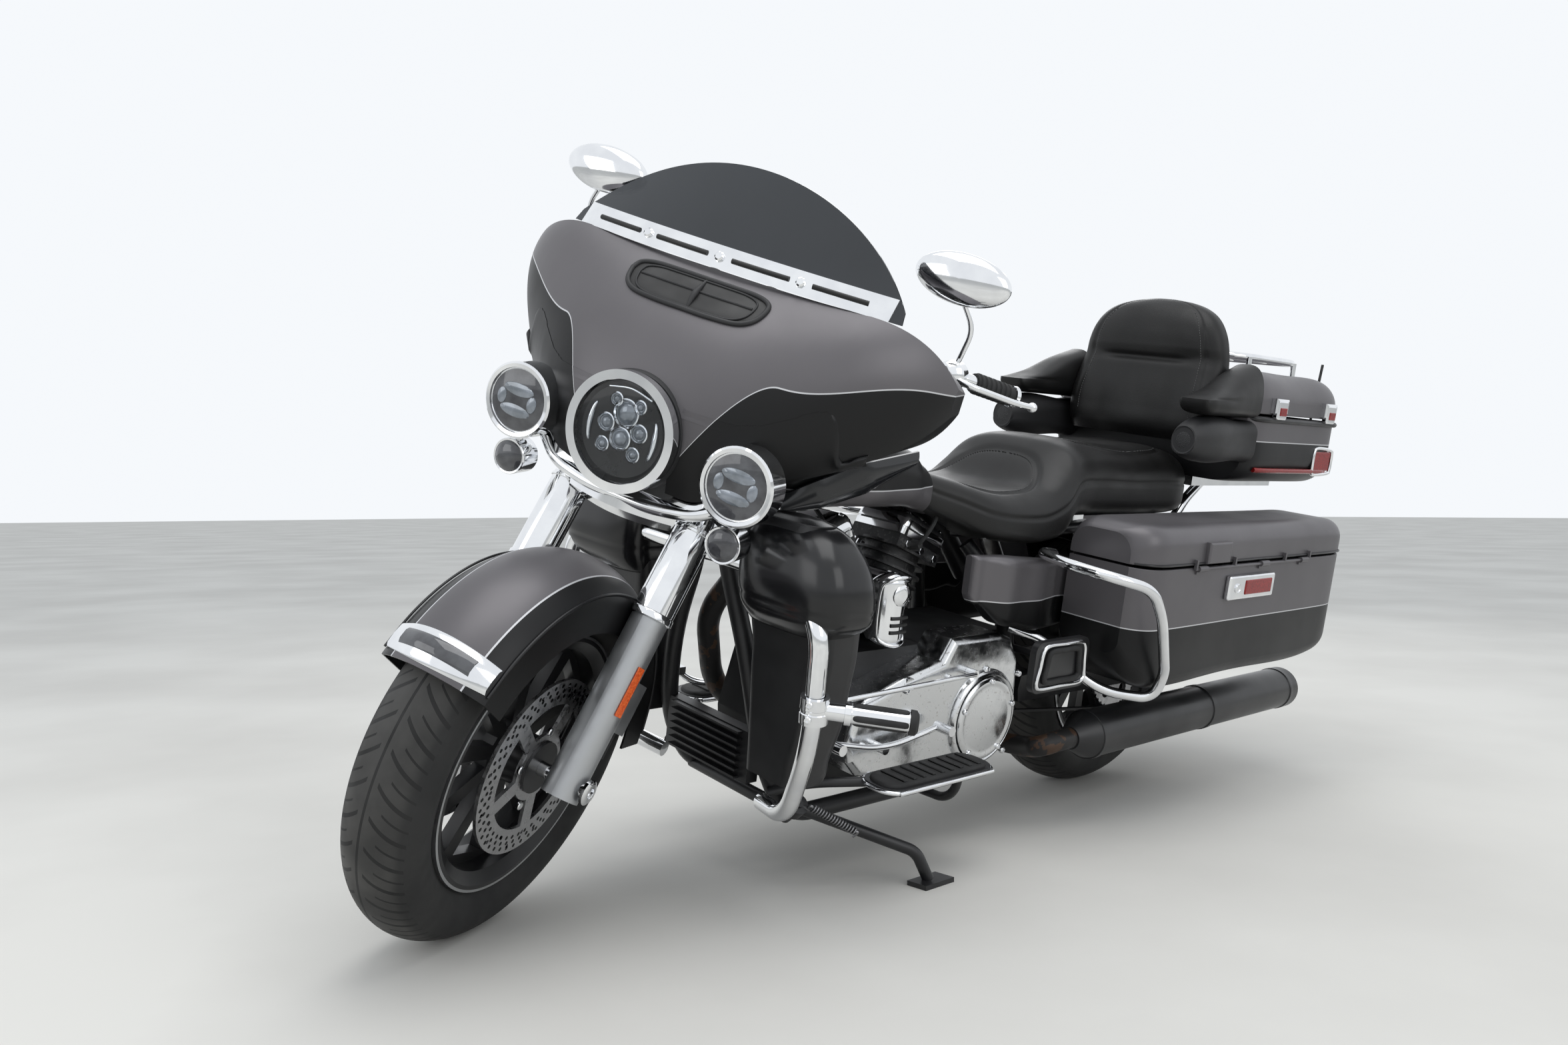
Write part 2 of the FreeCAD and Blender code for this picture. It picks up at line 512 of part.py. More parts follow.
COVERS = [(716, 158, 174, 560, 640, 6, 6), (637, 158, 214, 500, 640, 14, 20), (520, 158, 212, 478, 630, 14, 20),
          (436, 158, 188, 474, 622, 10, 12), (324, 158, 184, 486, 610, 10, 10)]
cover = body_of(COVERS)
cover = fused([cover, rod(Vector(536, 100, 520), Vector(536, 164, 520), 8)]).cut(cradle)
cover = max(cover.Solids, key=lambda solid: solid.Volume)
pipe_room = tube(REAR_PIPE, PIPE + 5)
right_cover = max(mirrored(cover).cut(pipe_room).Solids, key=lambda solid: solid.Volume)
feature("side_covers", [cover, right_cover])


def fender(axle, inner, half_y, skirt, thick, crown, start, end):
    """A mudguard: a hooped shell section swept round the axle between two angles from ahead."""
    def hoop(grow):
        top, side = inner + grow, half_y - thick + grow
        return (Vector(0, -side, inner - crown), Vector(0, 0, top), Vector(0, side, inner - crown))
    low_out, top_out, high_out = hoop(thick)
    low_in, top_in, high_in = hoop(0)
    foot = [Vector(0, side * y, skirt) for side, y in ((1, half_y), (1, half_y - thick), (-1, half_y - thick), (-1, half_y))]
    wire = Part.Wire([
        Part.Arc(low_out, top_out, high_out).toShape(), Part.LineSegment(high_out, foot[0]).toShape(),
        Part.LineSegment(foot[0], foot[1]).toShape(), Part.LineSegment(foot[1], high_in).toShape(),
        Part.Arc(high_in, top_in, low_in).toShape(), Part.LineSegment(low_in, foot[2]).toShape(),
        Part.LineSegment(foot[2], foot[3]).toShape(), Part.LineSegment(foot[3], low_out).toShape()])
    face = Part.Face(wire)
    face.rotate(Vector(), ACROSS, 90 - start)
    shell = face.revolve(Vector(), ACROSS, start - end)
    shell.translate(axle)
    return shell


rear_fender = fender(REAR_AXLE, 344, 114, 232, 4, 40, 62, 186)
rear_fender = rear_fender.cut(block((-300, -116, 100), (420, 116, 420)))
stays = [block((x, 114.3, 560), (x + 46, 128, 690)) for x in (-90, 20)]
feature("rear_fender", rear_fender)
stays = [piece.cut(seat_rail) for piece in stays]

# Rear luggage: hollow side bags with hinged lids, and the hollow tour box with its own.
def hollow(name_sections, wall, open_side):
    """A rounded tub from (x, inner y, outer y, low z, high z, radii): the cavity runs out of one side."""
    outer = body_of(name_sections)
    inner = []
    for number, (x, y_low, y_high, low, high, r_low, r_high) in enumerate(name_sections):
        end = {0: wall, len(name_sections) - 1: -wall}.get(number, 0)
        end = end if name_sections[-1][0] > name_sections[0][0] else -end
        top = high + 40 if open_side > 0 else high - wall
        floor = low + wall if open_side > 0 else low - 40
        inner.append((x + end, y_low + wall, y_high - wall, floor, top,
                      max(r_low - wall, 2) if open_side > 0 else 2, max(r_high - wall, 2) if open_side < 0 else 2))
    return outer.cut(body_of(inner))


BAG = [(420, 199, 344, 452, 22), (408, 195, 366, 422, 10), (388, 192.6, 382, 398, 3), (360, 192, 390, 384, 0),
       (320, 192, 392, 378, 0), (-360, 192, 392, 380, 0), (-420, 192, 391, 386, 0), (-470, 192.6, 386, 398, 3),
       (-500, 195, 374, 416, 10), (-516, 199, 356, 436, 22)]
bag_top = S["bag_top"]
lid_low, lid_high = bag_top + S["move_gap"], bag_top + S["lid_height"]
tub = hollow([(x, y0, y1, low, bag_top, 30, 2) for x, y0, y1, low, fall in BAG], S["bag_wall"], 1)
lid = hollow([(x, y0, y1, lid_low, lid_high - fall, 2, 44) for x, y0, y1, low, fall in BAG],
             S["bag_wall"], -1)
HINGE = Vector(0, S["bag_outer"] + 6, bag_top - 2)
hinge_pin = rod(HINGE + AHEAD * 250, HINGE - AHEAD * 290, 3)
tub_knuckles, lid_arms = [], []
for x in (220, -60, -260):
    tub_knuckles.append(ring(HINGE + AHEAD * x, AHEAD, 6.5, 3.3, 36))
    tub_knuckles.append(block((x - 18, S["bag_outer"] - 4, bag_top - 14), (x + 18, S["bag_outer"] + 4, bag_top - 2.5)))
for x in (247, -287, -160, 80):
    lid_arms.append(block((x - 3, S["bag_outer"] + 2.4, bag_top - 3), (x + 3, S["bag_outer"] + 9, lid_low + 12)))
    lid_arms.append(block((x - 3, S["bag_outer"] - 4, lid_low + 2), (x + 3, S["bag_outer"] + 9, lid_low + 12)))
bore = rod(HINGE + AHEAD * 400, HINGE - AHEAD * 400, 3.3)
tub = fused([tub] + tub_knuckles).cut(bore)
lid = fused([lid, hinge_pin] + lid_arms)
latch_place = Vector(150, S["bag_outer"], lid_low + 8)
latch = block((112, S["bag_outer"] - 4, lid_low + 2), (206, S["bag_outer"] + 12, lid_high - 34))
latch = rounded(latch, 5, lambda edge: abs(edge.CenterOfMass.y - S["bag_outer"] - 12) < 0.5)
cut_rail = [block((-140, 100, 560), (60, 191.6, 760))]
feature("saddlebags", both(tub))
lid = fused([lid, latch])
feature("bag_lid_left", lid)
feature("bag_lid_right", mirrored(lid))

# Brackets carry the bags and silencers from the seat rails and the cradle.
hanger = fused([block((-24, 184, 250), (24, 191.7, 700)), rod(Vector(0, 128, 690), Vector(0, 190, 690), 8),
                block((-24, 186, 250), (24, 214, 262)), rod(Vector(-100, 128, 690), Vector(-100, 188, 690), 8),
                block((-112, 184, 560), (-88, 191.7, 700))])
hanger = hanger.cut(seat_rail).cut(rod(Vector(360, muffler_y, muffler_z), Vector(-594, muffler_y, muffler_z),
                                       S["muffler_radius"] + S["seam"]))
bag_grown = block((-700, 191.7, 375), (421, 400, 760))
guard_r = S["bag_guard_tube"]
bag_guard = tube([(520, 141, 470), (470, 200, 452), (400, 300, 362), (330, 390, 362), (330, 410, 420), (450, 452, 560),
                  (520, 462, 626), (600, 430, 644), (618, 330, 652), (560, 222, 652), (480, 200, 640)], guard_r)
bag_guard = bag_guard.cut(tub).cut(cradle).cut(cover)
bag_guard = max(bag_guard.Solids, key=lambda solid: solid.Volume)
feature("bag_guards", both(bag_guard))

BOX = [(S["box_front"] - back, S["box_half_width"] - narrow, fall) for back, narrow, fall in (
    (0, 24, 22), (12, 11, 10), (32, 3, 3), (60, 0, 0))]
BOX += [(S["box_rear"] + ahead, S["box_half_width"] - narrow, fall) for ahead, narrow, fall in (
    (80, 0, 0), (44, 4, 4), (18, 14, 12), (0, 34, 26))]
floor, rim = S["box_floor"], S["box_rim"]
box_tub = hollow([(x, -half_y, half_y, floor, rim, 70, 2) for x, half_y, fall in BOX], S["box_wall"], 1)
lid_foot, lid_head = rim + S["move_gap"], rim + S["box_lid_height"]
LID_ROWS = [(x, -half_y, half_y, lid_foot, lid_head - fall, 2, 66) for x, half_y, fall in BOX]
box_lid = hollow(LID_ROWS, S["box_wall"], -1)
BOX_HINGE = Vector(0, -S["box_half_width"] - 6, rim - 2)
box_pin = rod(BOX_HINGE - AHEAD * 230, BOX_HINGE - AHEAD * 520, 3)
box_knuckles, box_arms = [], []
for x in (-270, -480):
    box_knuckles.append(ring(BOX_HINGE + AHEAD * x, AHEAD, 6.5, 3.3, 40))
    box_knuckles.append(block((x - 20, -S["box_half_width"] - 4, rim - 14), (x + 20, -S["box_half_width"] + 4, rim - 2.5)))
for x in (-233, -375, -517):
    box_arms.append(block((x - 3, -S["box_half_width"] - 9, rim - 3), (x + 3, -S["box_half_width"] - 2.4, lid_foot + 14)))
    box_arms.append(block((x - 3, -S["box_half_width"] - 9, lid_foot + 2), (x + 3, -S["box_half_width"] + 4, lid_foot + 14)))
box_bore = rod(BOX_HINGE, BOX_HINGE - AHEAD * 700, 3.3)
feature("tour_box", fused([box_tub] + box_knuckles).cut(box_bore))
feature("tour_box_lid", fused([box_lid, box_pin] + box_arms))
latch_cases = []
for x in (-230, -500):
    case_part = block((x - 30, S["box_half_width"] + 0.3, lid_foot + 4), (x + 30, S["box_half_width"] + 16, lid_foot + 40))
    latch_cases.append(rounded(case_part, 6, lambda edge: edge.CenterOfMass.y > S["box_half_width"] + 15))
rail_z = lid_head + 34
rack = [tube([(-190, 0, rail_z), (-190, 190, rail_z), (-530, 190, rail_z), (-530, 0, rail_z)], 9),
        mirrored(tube([(-190, 0, rail_z), (-190, 190, rail_z), (-530, 190, rail_z), (-530, 0, rail_z)], 9))]
rack += [rod(Vector(-190, y, rail_z), Vector(-530, y, rail_z), 6) for y in (-95, 0, 95)]
posts = [rod(Vector(x, y, lid_head - 60), Vector(x, y, rail_z), 7) for x in (-240, -480) for y in (-190, 190)]
lid_solid = body_of(LID_ROWS)
latch_cases = [latch_case.cut(lid_solid) for latch_case in latch_cases]
rack_whole = fused(rack + posts).cut(lid_solid)
rack_whole = max(rack_whole.Solids, key=lambda solid: solid.Volume)
feature("luggage_rack", [rack_whole] + latch_cases)
mounts = [block((-560, y - 12, floor - 24), (-150, y + 12, floor - S["seam"])) for y in (-128, 128)]
mounts += [tube([(-118, y, 702.5), (-150, y, 740), (-220, y, floor - 12)], 12) for y in (-128, 128)]
mounts += [rod(Vector(-480, -128, floor - 12), Vector(-480, 128, floor - 12), 10)]
mount_whole = fused(mounts).cut(seat_rail).cut(mirrored(seat_rail))
feature("luggage_brackets", both(hanger) + [piece for stay in stays for piece in both(stay)] + [mount_whole])
front_wall = S["box_front"] + S["seam"]
POD = [(front_wall, 206, 292, 852, 952, 30, 30), (0, 208, 298, 850, 956, 36, 40), (90, 214, 296, 854, 948, 36, 42),
       (126, 226, 282, 866, 930, 22, 26)]
pod = loft([section("x", *line) for line in POD])
BACK = [(884, -62, 200), (960, -60, 204), (1060, -70, 196), (1130, -80, 186), (1180, -88, 160), (1206, -94, 130), (1222, -100, 90)]
backrest = loft([section("z", z, front_wall, x1, -half_y, half_y, min(16, (x1 - front_wall) / 2 - 1), min(16, (x1 - front_wall) / 2 - 1))
                 for z, x1, half_y in BACK])
arm_rest = loft([section("x", x, y0, y1, 958, z1, 8, 18) for x, y0, y1, z1 in (
    (front_wall, 206.5, 292, 1030), (-60, 206.5, 298, 1026), (20, 208, 300, 1006), (110, 214, 296, 990))])
arm_rest = arm_rest.cut(pod).cut(backrest)
feature("backrest", [backrest] + both(max(arm_rest.Solids, key=lambda solid: solid.Volume)))
ANTENNA_X = S["box_rear"] - 8.3
antenna = fused([rod(Vector(ANTENNA_X, 196, 866), Vector(ANTENNA_X - 26, 196, 1112), 3.5),
                 rod(Vector(ANTENNA_X, 196, 868), Vector(ANTENNA_X, 196, 924), 8)])
feature("speaker_pods_and_antenna", both(pod) + [antenna])

# Lamps at the rear, the plate, and the brake on the rear disc.
plate_stay = rod(Vector(-330, 0, 404), Vector(-442, 0, 414), 8)
plate = block((-446, -92, 346), (-442, 92, 480))
plate = fused([plate, plate_stay]).cut(fender(REAR_AXLE, 343.7, 114.3, 232, 4.6, 40, 60, 188))
plate = max(plate.Solids, key=lambda solid: solid.Volume)
tail_lamp = rod(REAR_AXLE + Vector(-0.866, 0, 0.5) * 330, REAR_AXLE + Vector(-0.866, 0, 0.5) * 384, 40)
tail_lamp = max(tail_lamp.cut(rear_fender).Solids, key=lambda solid: solid.CenterOfMass.distanceToPoint(REAR_AXLE))
feature("tail_lamp_and_plate", [tail_lamp, plate])
CALIPER_DEPTH = 18
grip = block((24, -129.7, 372), (104, -66, 462)).cut(Part.makeCylinder(
    S["front_disc_radius"] + 8, CALIPER_DEPTH, REAR_AXLE - ACROSS * (S["rear_disc_offset"] + CALIPER_DEPTH / 2), ACROSS))
grip = fused([grip, block((26, -152, 366.3), (54, -120, 420))]).cut(mirrored(arm))
grip = grip.cut(mirrored(rod(SHOCK_LOW, SHOCK_HIGH, 20.6)))
grip = max(grip.Solids, key=lambda solid: solid.Volume)
feature("swing_arm", [arms_whole, grip])

# Guards, lower fairings, footboards and pegs.
GUARD = [(1188, 148, 205), (1236, 262, 228), (1286, 350, 400), (1304, 362, 580), (1298, 300, 640), (1284, 190, 644),
         (1252, 60, 636), (1252, 0, 636)]
guard = tube(GUARD, S["guard_tube"])
guard_all = fused([guard, mirrored(guard)]).cut(cradle).cut(mirrored(cradle))
LOWER = [(286, 1168, 1256, 160, 286), (400, 1164, 1262, 158, 316), (520, 1168, 1270, 156, 334), (600, 1176, 1282, 150, 342),
         (690, 1196, 1296, 140, 338), (736, 1226, 1292, 150, 312)]
lower = body_of([(z, x0, x1, y0, y1, 20, 30) for z, x0, x1, y0, y1 in LOWER], "z")
guard_grown = tube(GUARD, S["guard_tube"] + S["seam"])
lower = lower.cut(guard_grown).cut(cradle)
lower = max(lower.Solids, key=lambda solid: solid.Volume)
chin = block((1182, -121.6, 232), (1208, 121.6, 326))
chin_fins = [block((1208, -100, z), (1220, 100, z + 4)) for z in range(236, 324, 14)]
chin_whole = fused([chin] + chin_fins).cut(cradle).cut(mirrored(cradle))
feature("lower_fairings", both(lower) + [max(chin_whole.Solids, key=lambda solid: solid.Volume)])
board = block((750, 238, 250), (1050, 330, 262))
board = rounded(board, 40, lambda edge: abs(edge.CenterOfMass.z - 256) < 1 and edge.Length < 13)
board_rear = tube([(775, 150, 160), (775, 250, 166), (775, 262, 252)], 9)
board_front = tube([(1178, 150, 222), (1120, 192, 244), (1034, 250, 252)], 9)
stand_side = fused([board, board_rear, board_front]).cut(cradle).cut(guard_grown)
rider_board = max(stand_side.Solids, key=lambda solid: solid.Volume)
flap = block((452, 285, 380), (636, 300, 486))
flap = rounded(flap, 22, lambda edge: abs(edge.CenterOfMass.y - 292.5) < 1 and edge.Length < 16)
flap = fused([flap, tube([(500, 148, 424), (502, 250, 426), (520, 290, 432)], 8)]).cut(cradle).cut(bag_guard)
feature("footboards", both(rider_board) + both(max(flap.Solids, key=lambda solid: solid.Volume)))
PEG_ROOT, PEG_TIP = Vector(1291, 354, 455), Vector(1180, 466, 452)
peg = fused([rod(PEG_ROOT, PEG_TIP, 15), Part.makeSphere(23, PEG_ROOT)])
guard_all = fused([guard_all, peg, mirrored(peg)])
feature("engine_guard", max(guard_all.Solids, key=lambda solid: solid.Volume))
shifter = fused([tube([(800, 214, 312), (950, 212, 286), (1105, 214, 322)], 6), rod(Vector(950, 187.6, 286), Vector(950, 216, 286), 9),
                 rod(Vector(803, 208, 312), Vector(803, 250, 312), 10), rod(Vector(1102, 208, 320), Vector(1102, 250, 320), 10)])
link = fused([rod(Vector(700, 208, 404), Vector(1080, 208, 396), 5), rod(Vector(700, 187.6, 404), Vector(700, 210, 404), 9),
              rod(Vector(1080, 211, 396), Vector(1100, 211, 324), 5)])
brake = fused([tube([(950, -262, 280), (1040, -262, 290), (1100, -262, 330)], 7), rod(Vector(950, -262, 262.3), Vector(950, -262, 284), 10),
               block((1084, -290, 320), (1110, -236, 336))])
feature("foot_controls", [fused([shifter, link]).cut(primary), brake])

# Fork: clamps and stem, cover tubes, sliders with the brakes, axle and mudguard. All of it steers.
LEG = S["fork_spacing"] / 2


def clamp(height, ahead, thick):
    plate = Part.makeBox(96 + ahead, 2 * LEG + 84, thick, Vector(-96, -LEG - 42, -thick / 2))
    plate = rounded(plate, 30, lambda edge: abs(edge.CenterOfMass.z) < 0.1)
    plate.Placement = Placement(steer_at(height), Rotation(ACROSS, -S["rake_angle"]))
    return plate


legs = [rod(fork_at(240, side * LEG), fork_at(S["fork_length"], side * LEG), 24.5) for side in SIDES]
covers = [rod(fork_at(S["slider_length"] + 1, side * LEG), fork_at(455, side * LEG), S["fork_cover_radius"]) for side in SIDES]
leg_nodes = [fused([leg, leg_cover]) for leg, leg_cover in zip(legs, covers)]
stem = rod(steer_at(744), steer_at(990), 12)
bearings = [rod(steer_at(height), steer_at(height + 14), 18.7) for height in (HEAD_LOW + 2, HEAD_HIGH - 16)]
clamps = fused([clamp(762, 28, 30), clamp(985, 30, 24), stem] + bearings)
clamps = clamps.cut(Part.makeCompound(leg_nodes)).cut(rod(fork_at(380, LEG), fork_at(S["fork_length"] + 30, LEG), 24.8))
clamps = clamps.cut(rod(fork_at(380, -LEG), fork_at(S["fork_length"] + 30, -LEG), 24.8))
feature("triple_clamps", clamps, True)
feature("fork_tubes", leg_nodes, True)
sliders = []
for side in SIDES:
    slider = rod(fork_at(-26, side * LEG), fork_at(S["slider_length"], side * LEG), S["slider_radius"])
    slider = slider.cut(rod(fork_at(236, side * LEG), fork_at(S["fork_length"], side * LEG), 24.8))
    boss = Part.makeBox(66, 26, 90, Vector(-92, -13, 40))
    boss.Placement = Placement(fork_at(60, side * LEG), Rotation(ACROSS, -S["fork_angle"]))
    slider = fused([slider, boss]).cut(rod(FRONT_AXLE - ACROSS * 200, FRONT_AXLE + ACROSS * 200, S["axle_radius"] + 0.3))
    sliders.append(slider)
feature("fork_sliders", sliders, True)
front_axle = doc.addObject("Part::Cylinder", "FrontAxle")
bind(front_axle, Radius="Sizes.axle_radius", Height="Sizes.fork_spacing + 84")
front_axle.Placement = Placement(FRONT_AXLE - ACROSS * (LEG + 42), ALONG_Y)
keep(front_axle, "front_axle", True)
calipers = []
for side in SIDES:
    body = Part.makeBox(62, 66, 78, Vector(-130, -33, 52))
    body = rounded(body, 10, lambda edge: edge.Length > 77)
    body.Placement = Placement(FRONT_AXLE + ACROSS * (side * 80), Rotation(ACROSS, -S["fork_angle"]))
    gap = Part.makeCylinder(S["front_disc_radius"] + 8, CALIPER_DEPTH,
                            FRONT_AXLE + ACROSS * (side * S["front_disc_offset"] - CALIPER_DEPTH / 2), ACROSS)
    body = body.cut(gap).cut(sliders[0]).cut(sliders[1])
    calipers.append(max(body.Solids, key=lambda solid: solid.Volume))
feature("front_calipers", calipers, True)
guard_half = LEG - S["slider_radius"] - S["seam"]
front_fender = fender(FRONT_AXLE, 338, guard_half, 240, 4, 36, 40, 190)
front_fender = front_fender.cut(Part.makeCompound(leg_nodes)).cut(Part.makeCompound(sliders))
feature("front_fender", max(front_fender.Solids, key=lambda solid: solid.Volume), True)

# Fairing: a shell lofted across from wing tip to wing tip, open behind and below.
# Columns: y, then (x, z) of the top edge, the bulge, the bottom edge and the two rear corners.
WINGS = [
    (0, 1322, 1128, 1462, 985, 1478, 756, 1240, 1120, 1300, 756),
    (130, 1318, 1128, 1450, 985, 1462, 765, 1236, 1120, 1290, 765),
    (230, 1304, 1130, 1405, 995, 1402, 826, 1214, 1120, 1250, 832),
    (330, 1278, 1126, 1338, 1020, 1312, 896, 1186, 1104, 1170, 902),
    (400, 1244, 1092, 1268, 1040, 1244, 958, 1164, 1070, 1148, 956),
    (430, 1212, 1056, 1218, 1034, 1208, 1006, 1160, 1046, 1158, 1010),
]


def wing_section(y, top, bulge, bottom, low_rear, high_rear):
    spots = [Vector(x, y, z) for x, z in (top, bulge, bottom, low_rear, high_rear)]
    edges = [Part.Arc(*spots[:3]), Part.LineSegment(spots[2], spots[3]), Part.LineSegment(spots[3], spots[4]),
             Part.LineSegment(spots[4], spots[0])]
    return Part.Wire([edge.toShape() for edge in edges])


def wings(inset):
    """The fairing's outline, or with an inset the space inside it, running out behind and below."""
    sections = []
    for y, tx, tz, mx, mz, bx, bz, rx, rz, lx, lz in WINGS:
        if inset:
            y = y if y < 400 else y - (8 if y < 430 else 12)
            under = 60 if y < 240 else -inset
            top, bulge, bottom = (tx - inset, tz - inset), (mx - inset, mz - 1), (bx - inset, bz - under)
            low_rear, high_rear = (lx - 60, lz - under), (rx - 60, rz - inset - 2)
        else:
            top, bulge, bottom, low_rear, high_rear = (tx, tz), (mx, mz), (bx, bz), (lx, lz), (rx, rz)
        sections.append((y, top, bulge, bottom, low_rear, high_rear))
    mirror = [(-y, *rest) for y, *rest in reversed(sections[1:])]
    return loft([wing_section(*line) for line in mirror + sections])


shell_solid, space = wings(0), wings(S["fairing_wall"])
HEADLIGHT = Vector(1462, 0, 855)
RING_R, LAMP_R, LAMP_Y = 99, 64, 211
shell = shell_solid.cut(space)
shell = shell.cut(Part.makeCylinder(RING_R + S["seam"], 120, HEADLIGHT - AHEAD * 20, AHEAD))
lamp_spots = [Vector(1444, side * LAMP_Y, 836) for side in SIDES]
lamp_bodies = [fused([Part.makeCylinder(LAMP_R, 46, spot, AHEAD), Part.makeCylinder(24, 30, spot - AHEAD * 24, AHEAD)])
               for spot in lamp_spots]
shell = shell.cut(Part.makeCompound([Part.makeCylinder(LAMP_R + 4, 120, spot - AHEAD * 26, AHEAD) for spot in lamp_spots]))
shell = max(shell.Solids, key=lambda solid: solid.Volume)
feature("outer_fairing", shell, True)
BAR = [(1010, 470, 1050), (1100, 404, 1062), (1190, 250, 1076), (1258, 150, 1050), (1285, 64, 1022), (1285, 0, 1022)]
bar = tube(BAR, S["bar_tube"], 0.2)
bar_whole = fused([bar, mirrored(bar)])
risers = [rod(Vector(1298, y, 976), Vector(1285, y, 1022), 14) for y in (-40, 40)]
feature("handlebar", fused([bar_whole] + risers).cut(clamps), True)
bar_grown = fused([tube(BAR, 18, 0.2), mirrored(tube(BAR, 18, 0.2))])
dash = block((1222, -424, 950), (1236, 424, 1130)).common(space).cut(bar_grown)
for side in SIDES:
    dash = dash.cut(rod(fork_at(600, side * LEG), fork_at(S["fork_length"] + 30, side * LEG), 24.8))
dash = max(dash.Solids, key=lambda solid: solid.Volume)
dials = [Part.makeCylinder(46, 15, Vector(1222.5, y, 1072), Vector(-1, 0, 0.15)) for y in (-58, 58)]
dials += [Part.makeCylinder(28, 12, Vector(1222.5, y, 1050), Vector(-1, 0, 0.15)) for y in (-150, 150)]
dials += [block((1214, -85, 962), (1223, 85, 1004))]
feature("inner_fairing", fused([dash] + dials).cut(clamps), True)


def screen_loft(levels, grow, thick):
    """A bowed sheet: arcs in plan at each height, from (z, centre x, end x, half width)."""
    sections = []
    for z, centre, end, half_y in levels:
        out = [Vector(end + grow, -half_y, z), Vector(centre + grow, 0, z), Vector(end + grow, half_y, z)]
        back = [Vector(end + grow - thick, half_y, z), Vector(centre + grow - thick, 0, z), Vector(end + grow - thick, -half_y, z)]
        sections.append(Part.Wire([Part.Arc(*out).toShape(), Part.LineSegment(out[2], back[0]).toShape(),
                                   Part.Arc(*back).toShape(), Part.LineSegment(back[2], out[0]).toShape()]))
    return loft(sections)


SCREEN = [(1130.5, 1331, 1272, 330), (1220, 1284, 1216, 318), (1345, 1224, 1150, 300)]
screen = screen_loft(SCREEN, 0, 4)
arch = Part.Wire([Part.LineSegment(Vector(1100, -330, 1100), Vector(1100, 330, 1100)).toShape(),
                  Part.LineSegment(Vector(1100, 330, 1100), Vector(1100, 318, 1150)).toShape(),
                  Part.Arc(Vector(1100, 318, 1150), Vector(1100, 0, 1304), Vector(1100, -318, 1150)).toShape(),
                  Part.LineSegment(Vector(1100, -318, 1150), Vector(1100, -330, 1100)).toShape()])
screen = screen.common(Part.Face(arch).extrude(AHEAD * 300))
feature("windshield", screen.cut(shell), True)
trim = screen_loft(SCREEN, 4.3, 4).common(block((1100, -302, 1120), (1400, 302, 1168))).cut(shell)
feature("windshield_trim", trim, True)
bucket = fused([Part.makeCylinder(88, 36, HEADLIGHT, AHEAD),
                ring(HEADLIGHT + AHEAD * 43, AHEAD, RING_R, 84, 18)])
bucket = bucket.cut(Part.makeCylinder(83.7, 30, HEADLIGHT + AHEAD * 30, AHEAD))
bucket = fused([bucket, block((1436, -28, 768), (1470, 28, 776))]).cut(clamps)
feature("headlamp", max(bucket.Solids, key=lambda solid: solid.Volume), True)
feature("headlamp_lens", Part.makeCylinder(83.4, 12, HEADLIGHT + AHEAD * 36.3, AHEAD), True)
bar_path = [(1428, -LAMP_Y, 824), (1428, -190, 790), (1448, -140, 752), (1460, -60, 740), (1460, 60, 740),
            (1448, 140, 752), (1428, 190, 790), (1428, LAMP_Y, 824)]
lamp_bar = fused([tube(bar_path, 11), block((1424, -60, 734), (1462, 60, 746))])
signal_spots = [Vector(1440, side * LAMP_Y, 736) for side in SIDES]
signals = [fused([Part.makeCylinder(31, 40, spot, AHEAD), rod(spot + AHEAD * 20, spot + Vector(20, 0, 60), 8)])
           .cut(Part.makeCompound(lamp_bodies)) for spot in signal_spots]
lamp_bar = lamp_bar.cut(clamps).cut(Part.makeCompound(leg_nodes + lamp_bodies + signals)).cut(shell)
feature("lamp_bar", max(lamp_bar.Solids, key=lambda solid: solid.Volume), True)
feature("front_lamps", lamp_bodies + signals, True)
grips, switches, levers, mirrors = [], [], [], []
GRIP_IN = Vector(*BAR[1]) + (Vector(*BAR[0]) - Vector(*BAR[1])) * 0.22
GRIP_OUT = Vector(*BAR[0]) + (Vector(*BAR[0]) - Vector(*BAR[1])).normalize() * 6
for side in (1,):
    grip_rod = rod(GRIP_IN, GRIP_OUT, 17).cut(rod(GRIP_IN - (GRIP_OUT - GRIP_IN), Vector(*BAR[0]) + (GRIP_OUT - Vector(*BAR[0])) * 0.05, 13.3))
    case_spot = Vector(*BAR[1]) + (Vector(*BAR[2]) - Vector(*BAR[1])) * 0.12
    switch = Part.makeSphere(30, case_spot).common(Part.makeCylinder(26, 80, case_spot - Vector(40, 0, 0), AHEAD))
    switch = switch.cut(bar_whole).cut(grip_rod)
    switch = max(switch.Solids, key=lambda solid: solid.Volume)
    lever = tube([(1128, 392, 1062), (1136, 430, 1058), (1056, 500, 1046), (1018, 520, 1044)], 5.5)
    lever = fused([lever, Part.makeSphere(9, Vector(1018, 520, 1044))])
    lever = lever.cut(switch)
    lever = max(lever.Solids, key=lambda solid: solid.Volume)
    stalk = tube([(1110, 388, 1088), (1124, 400, 1150), (1142, 372, 1192)], 5)
    oval = Part.Ellipse(Vector(1138, 446, 1225), Vector(1138, 362, 1267), Vector(1138, 362, 1225))
    head_shape = Part.Face(Part.Wire(oval.toShape())).extrude(Vector(24, 0, 0))
    far_edge = [edge for edge in head_shape.Edges if edge.BoundBox.XMin > 1161]
    head_shape = head_shape.makeFillet(17, far_edge)
    mirror_whole = fused([stalk, head_shape]).cut(switch)
    mirror_whole = max(mirror_whole.Solids, key=lambda solid: solid.Volume)
    grips.append(grip_rod), switches.append(switch), levers.append(lever), mirrors.append(mirror_whole)
feature("grips", [grips[0], mirrored(grips[0])], True)
feature("hand_controls", both(switches[0]) + both(levers[0]) + both(mirrors[0]), True)

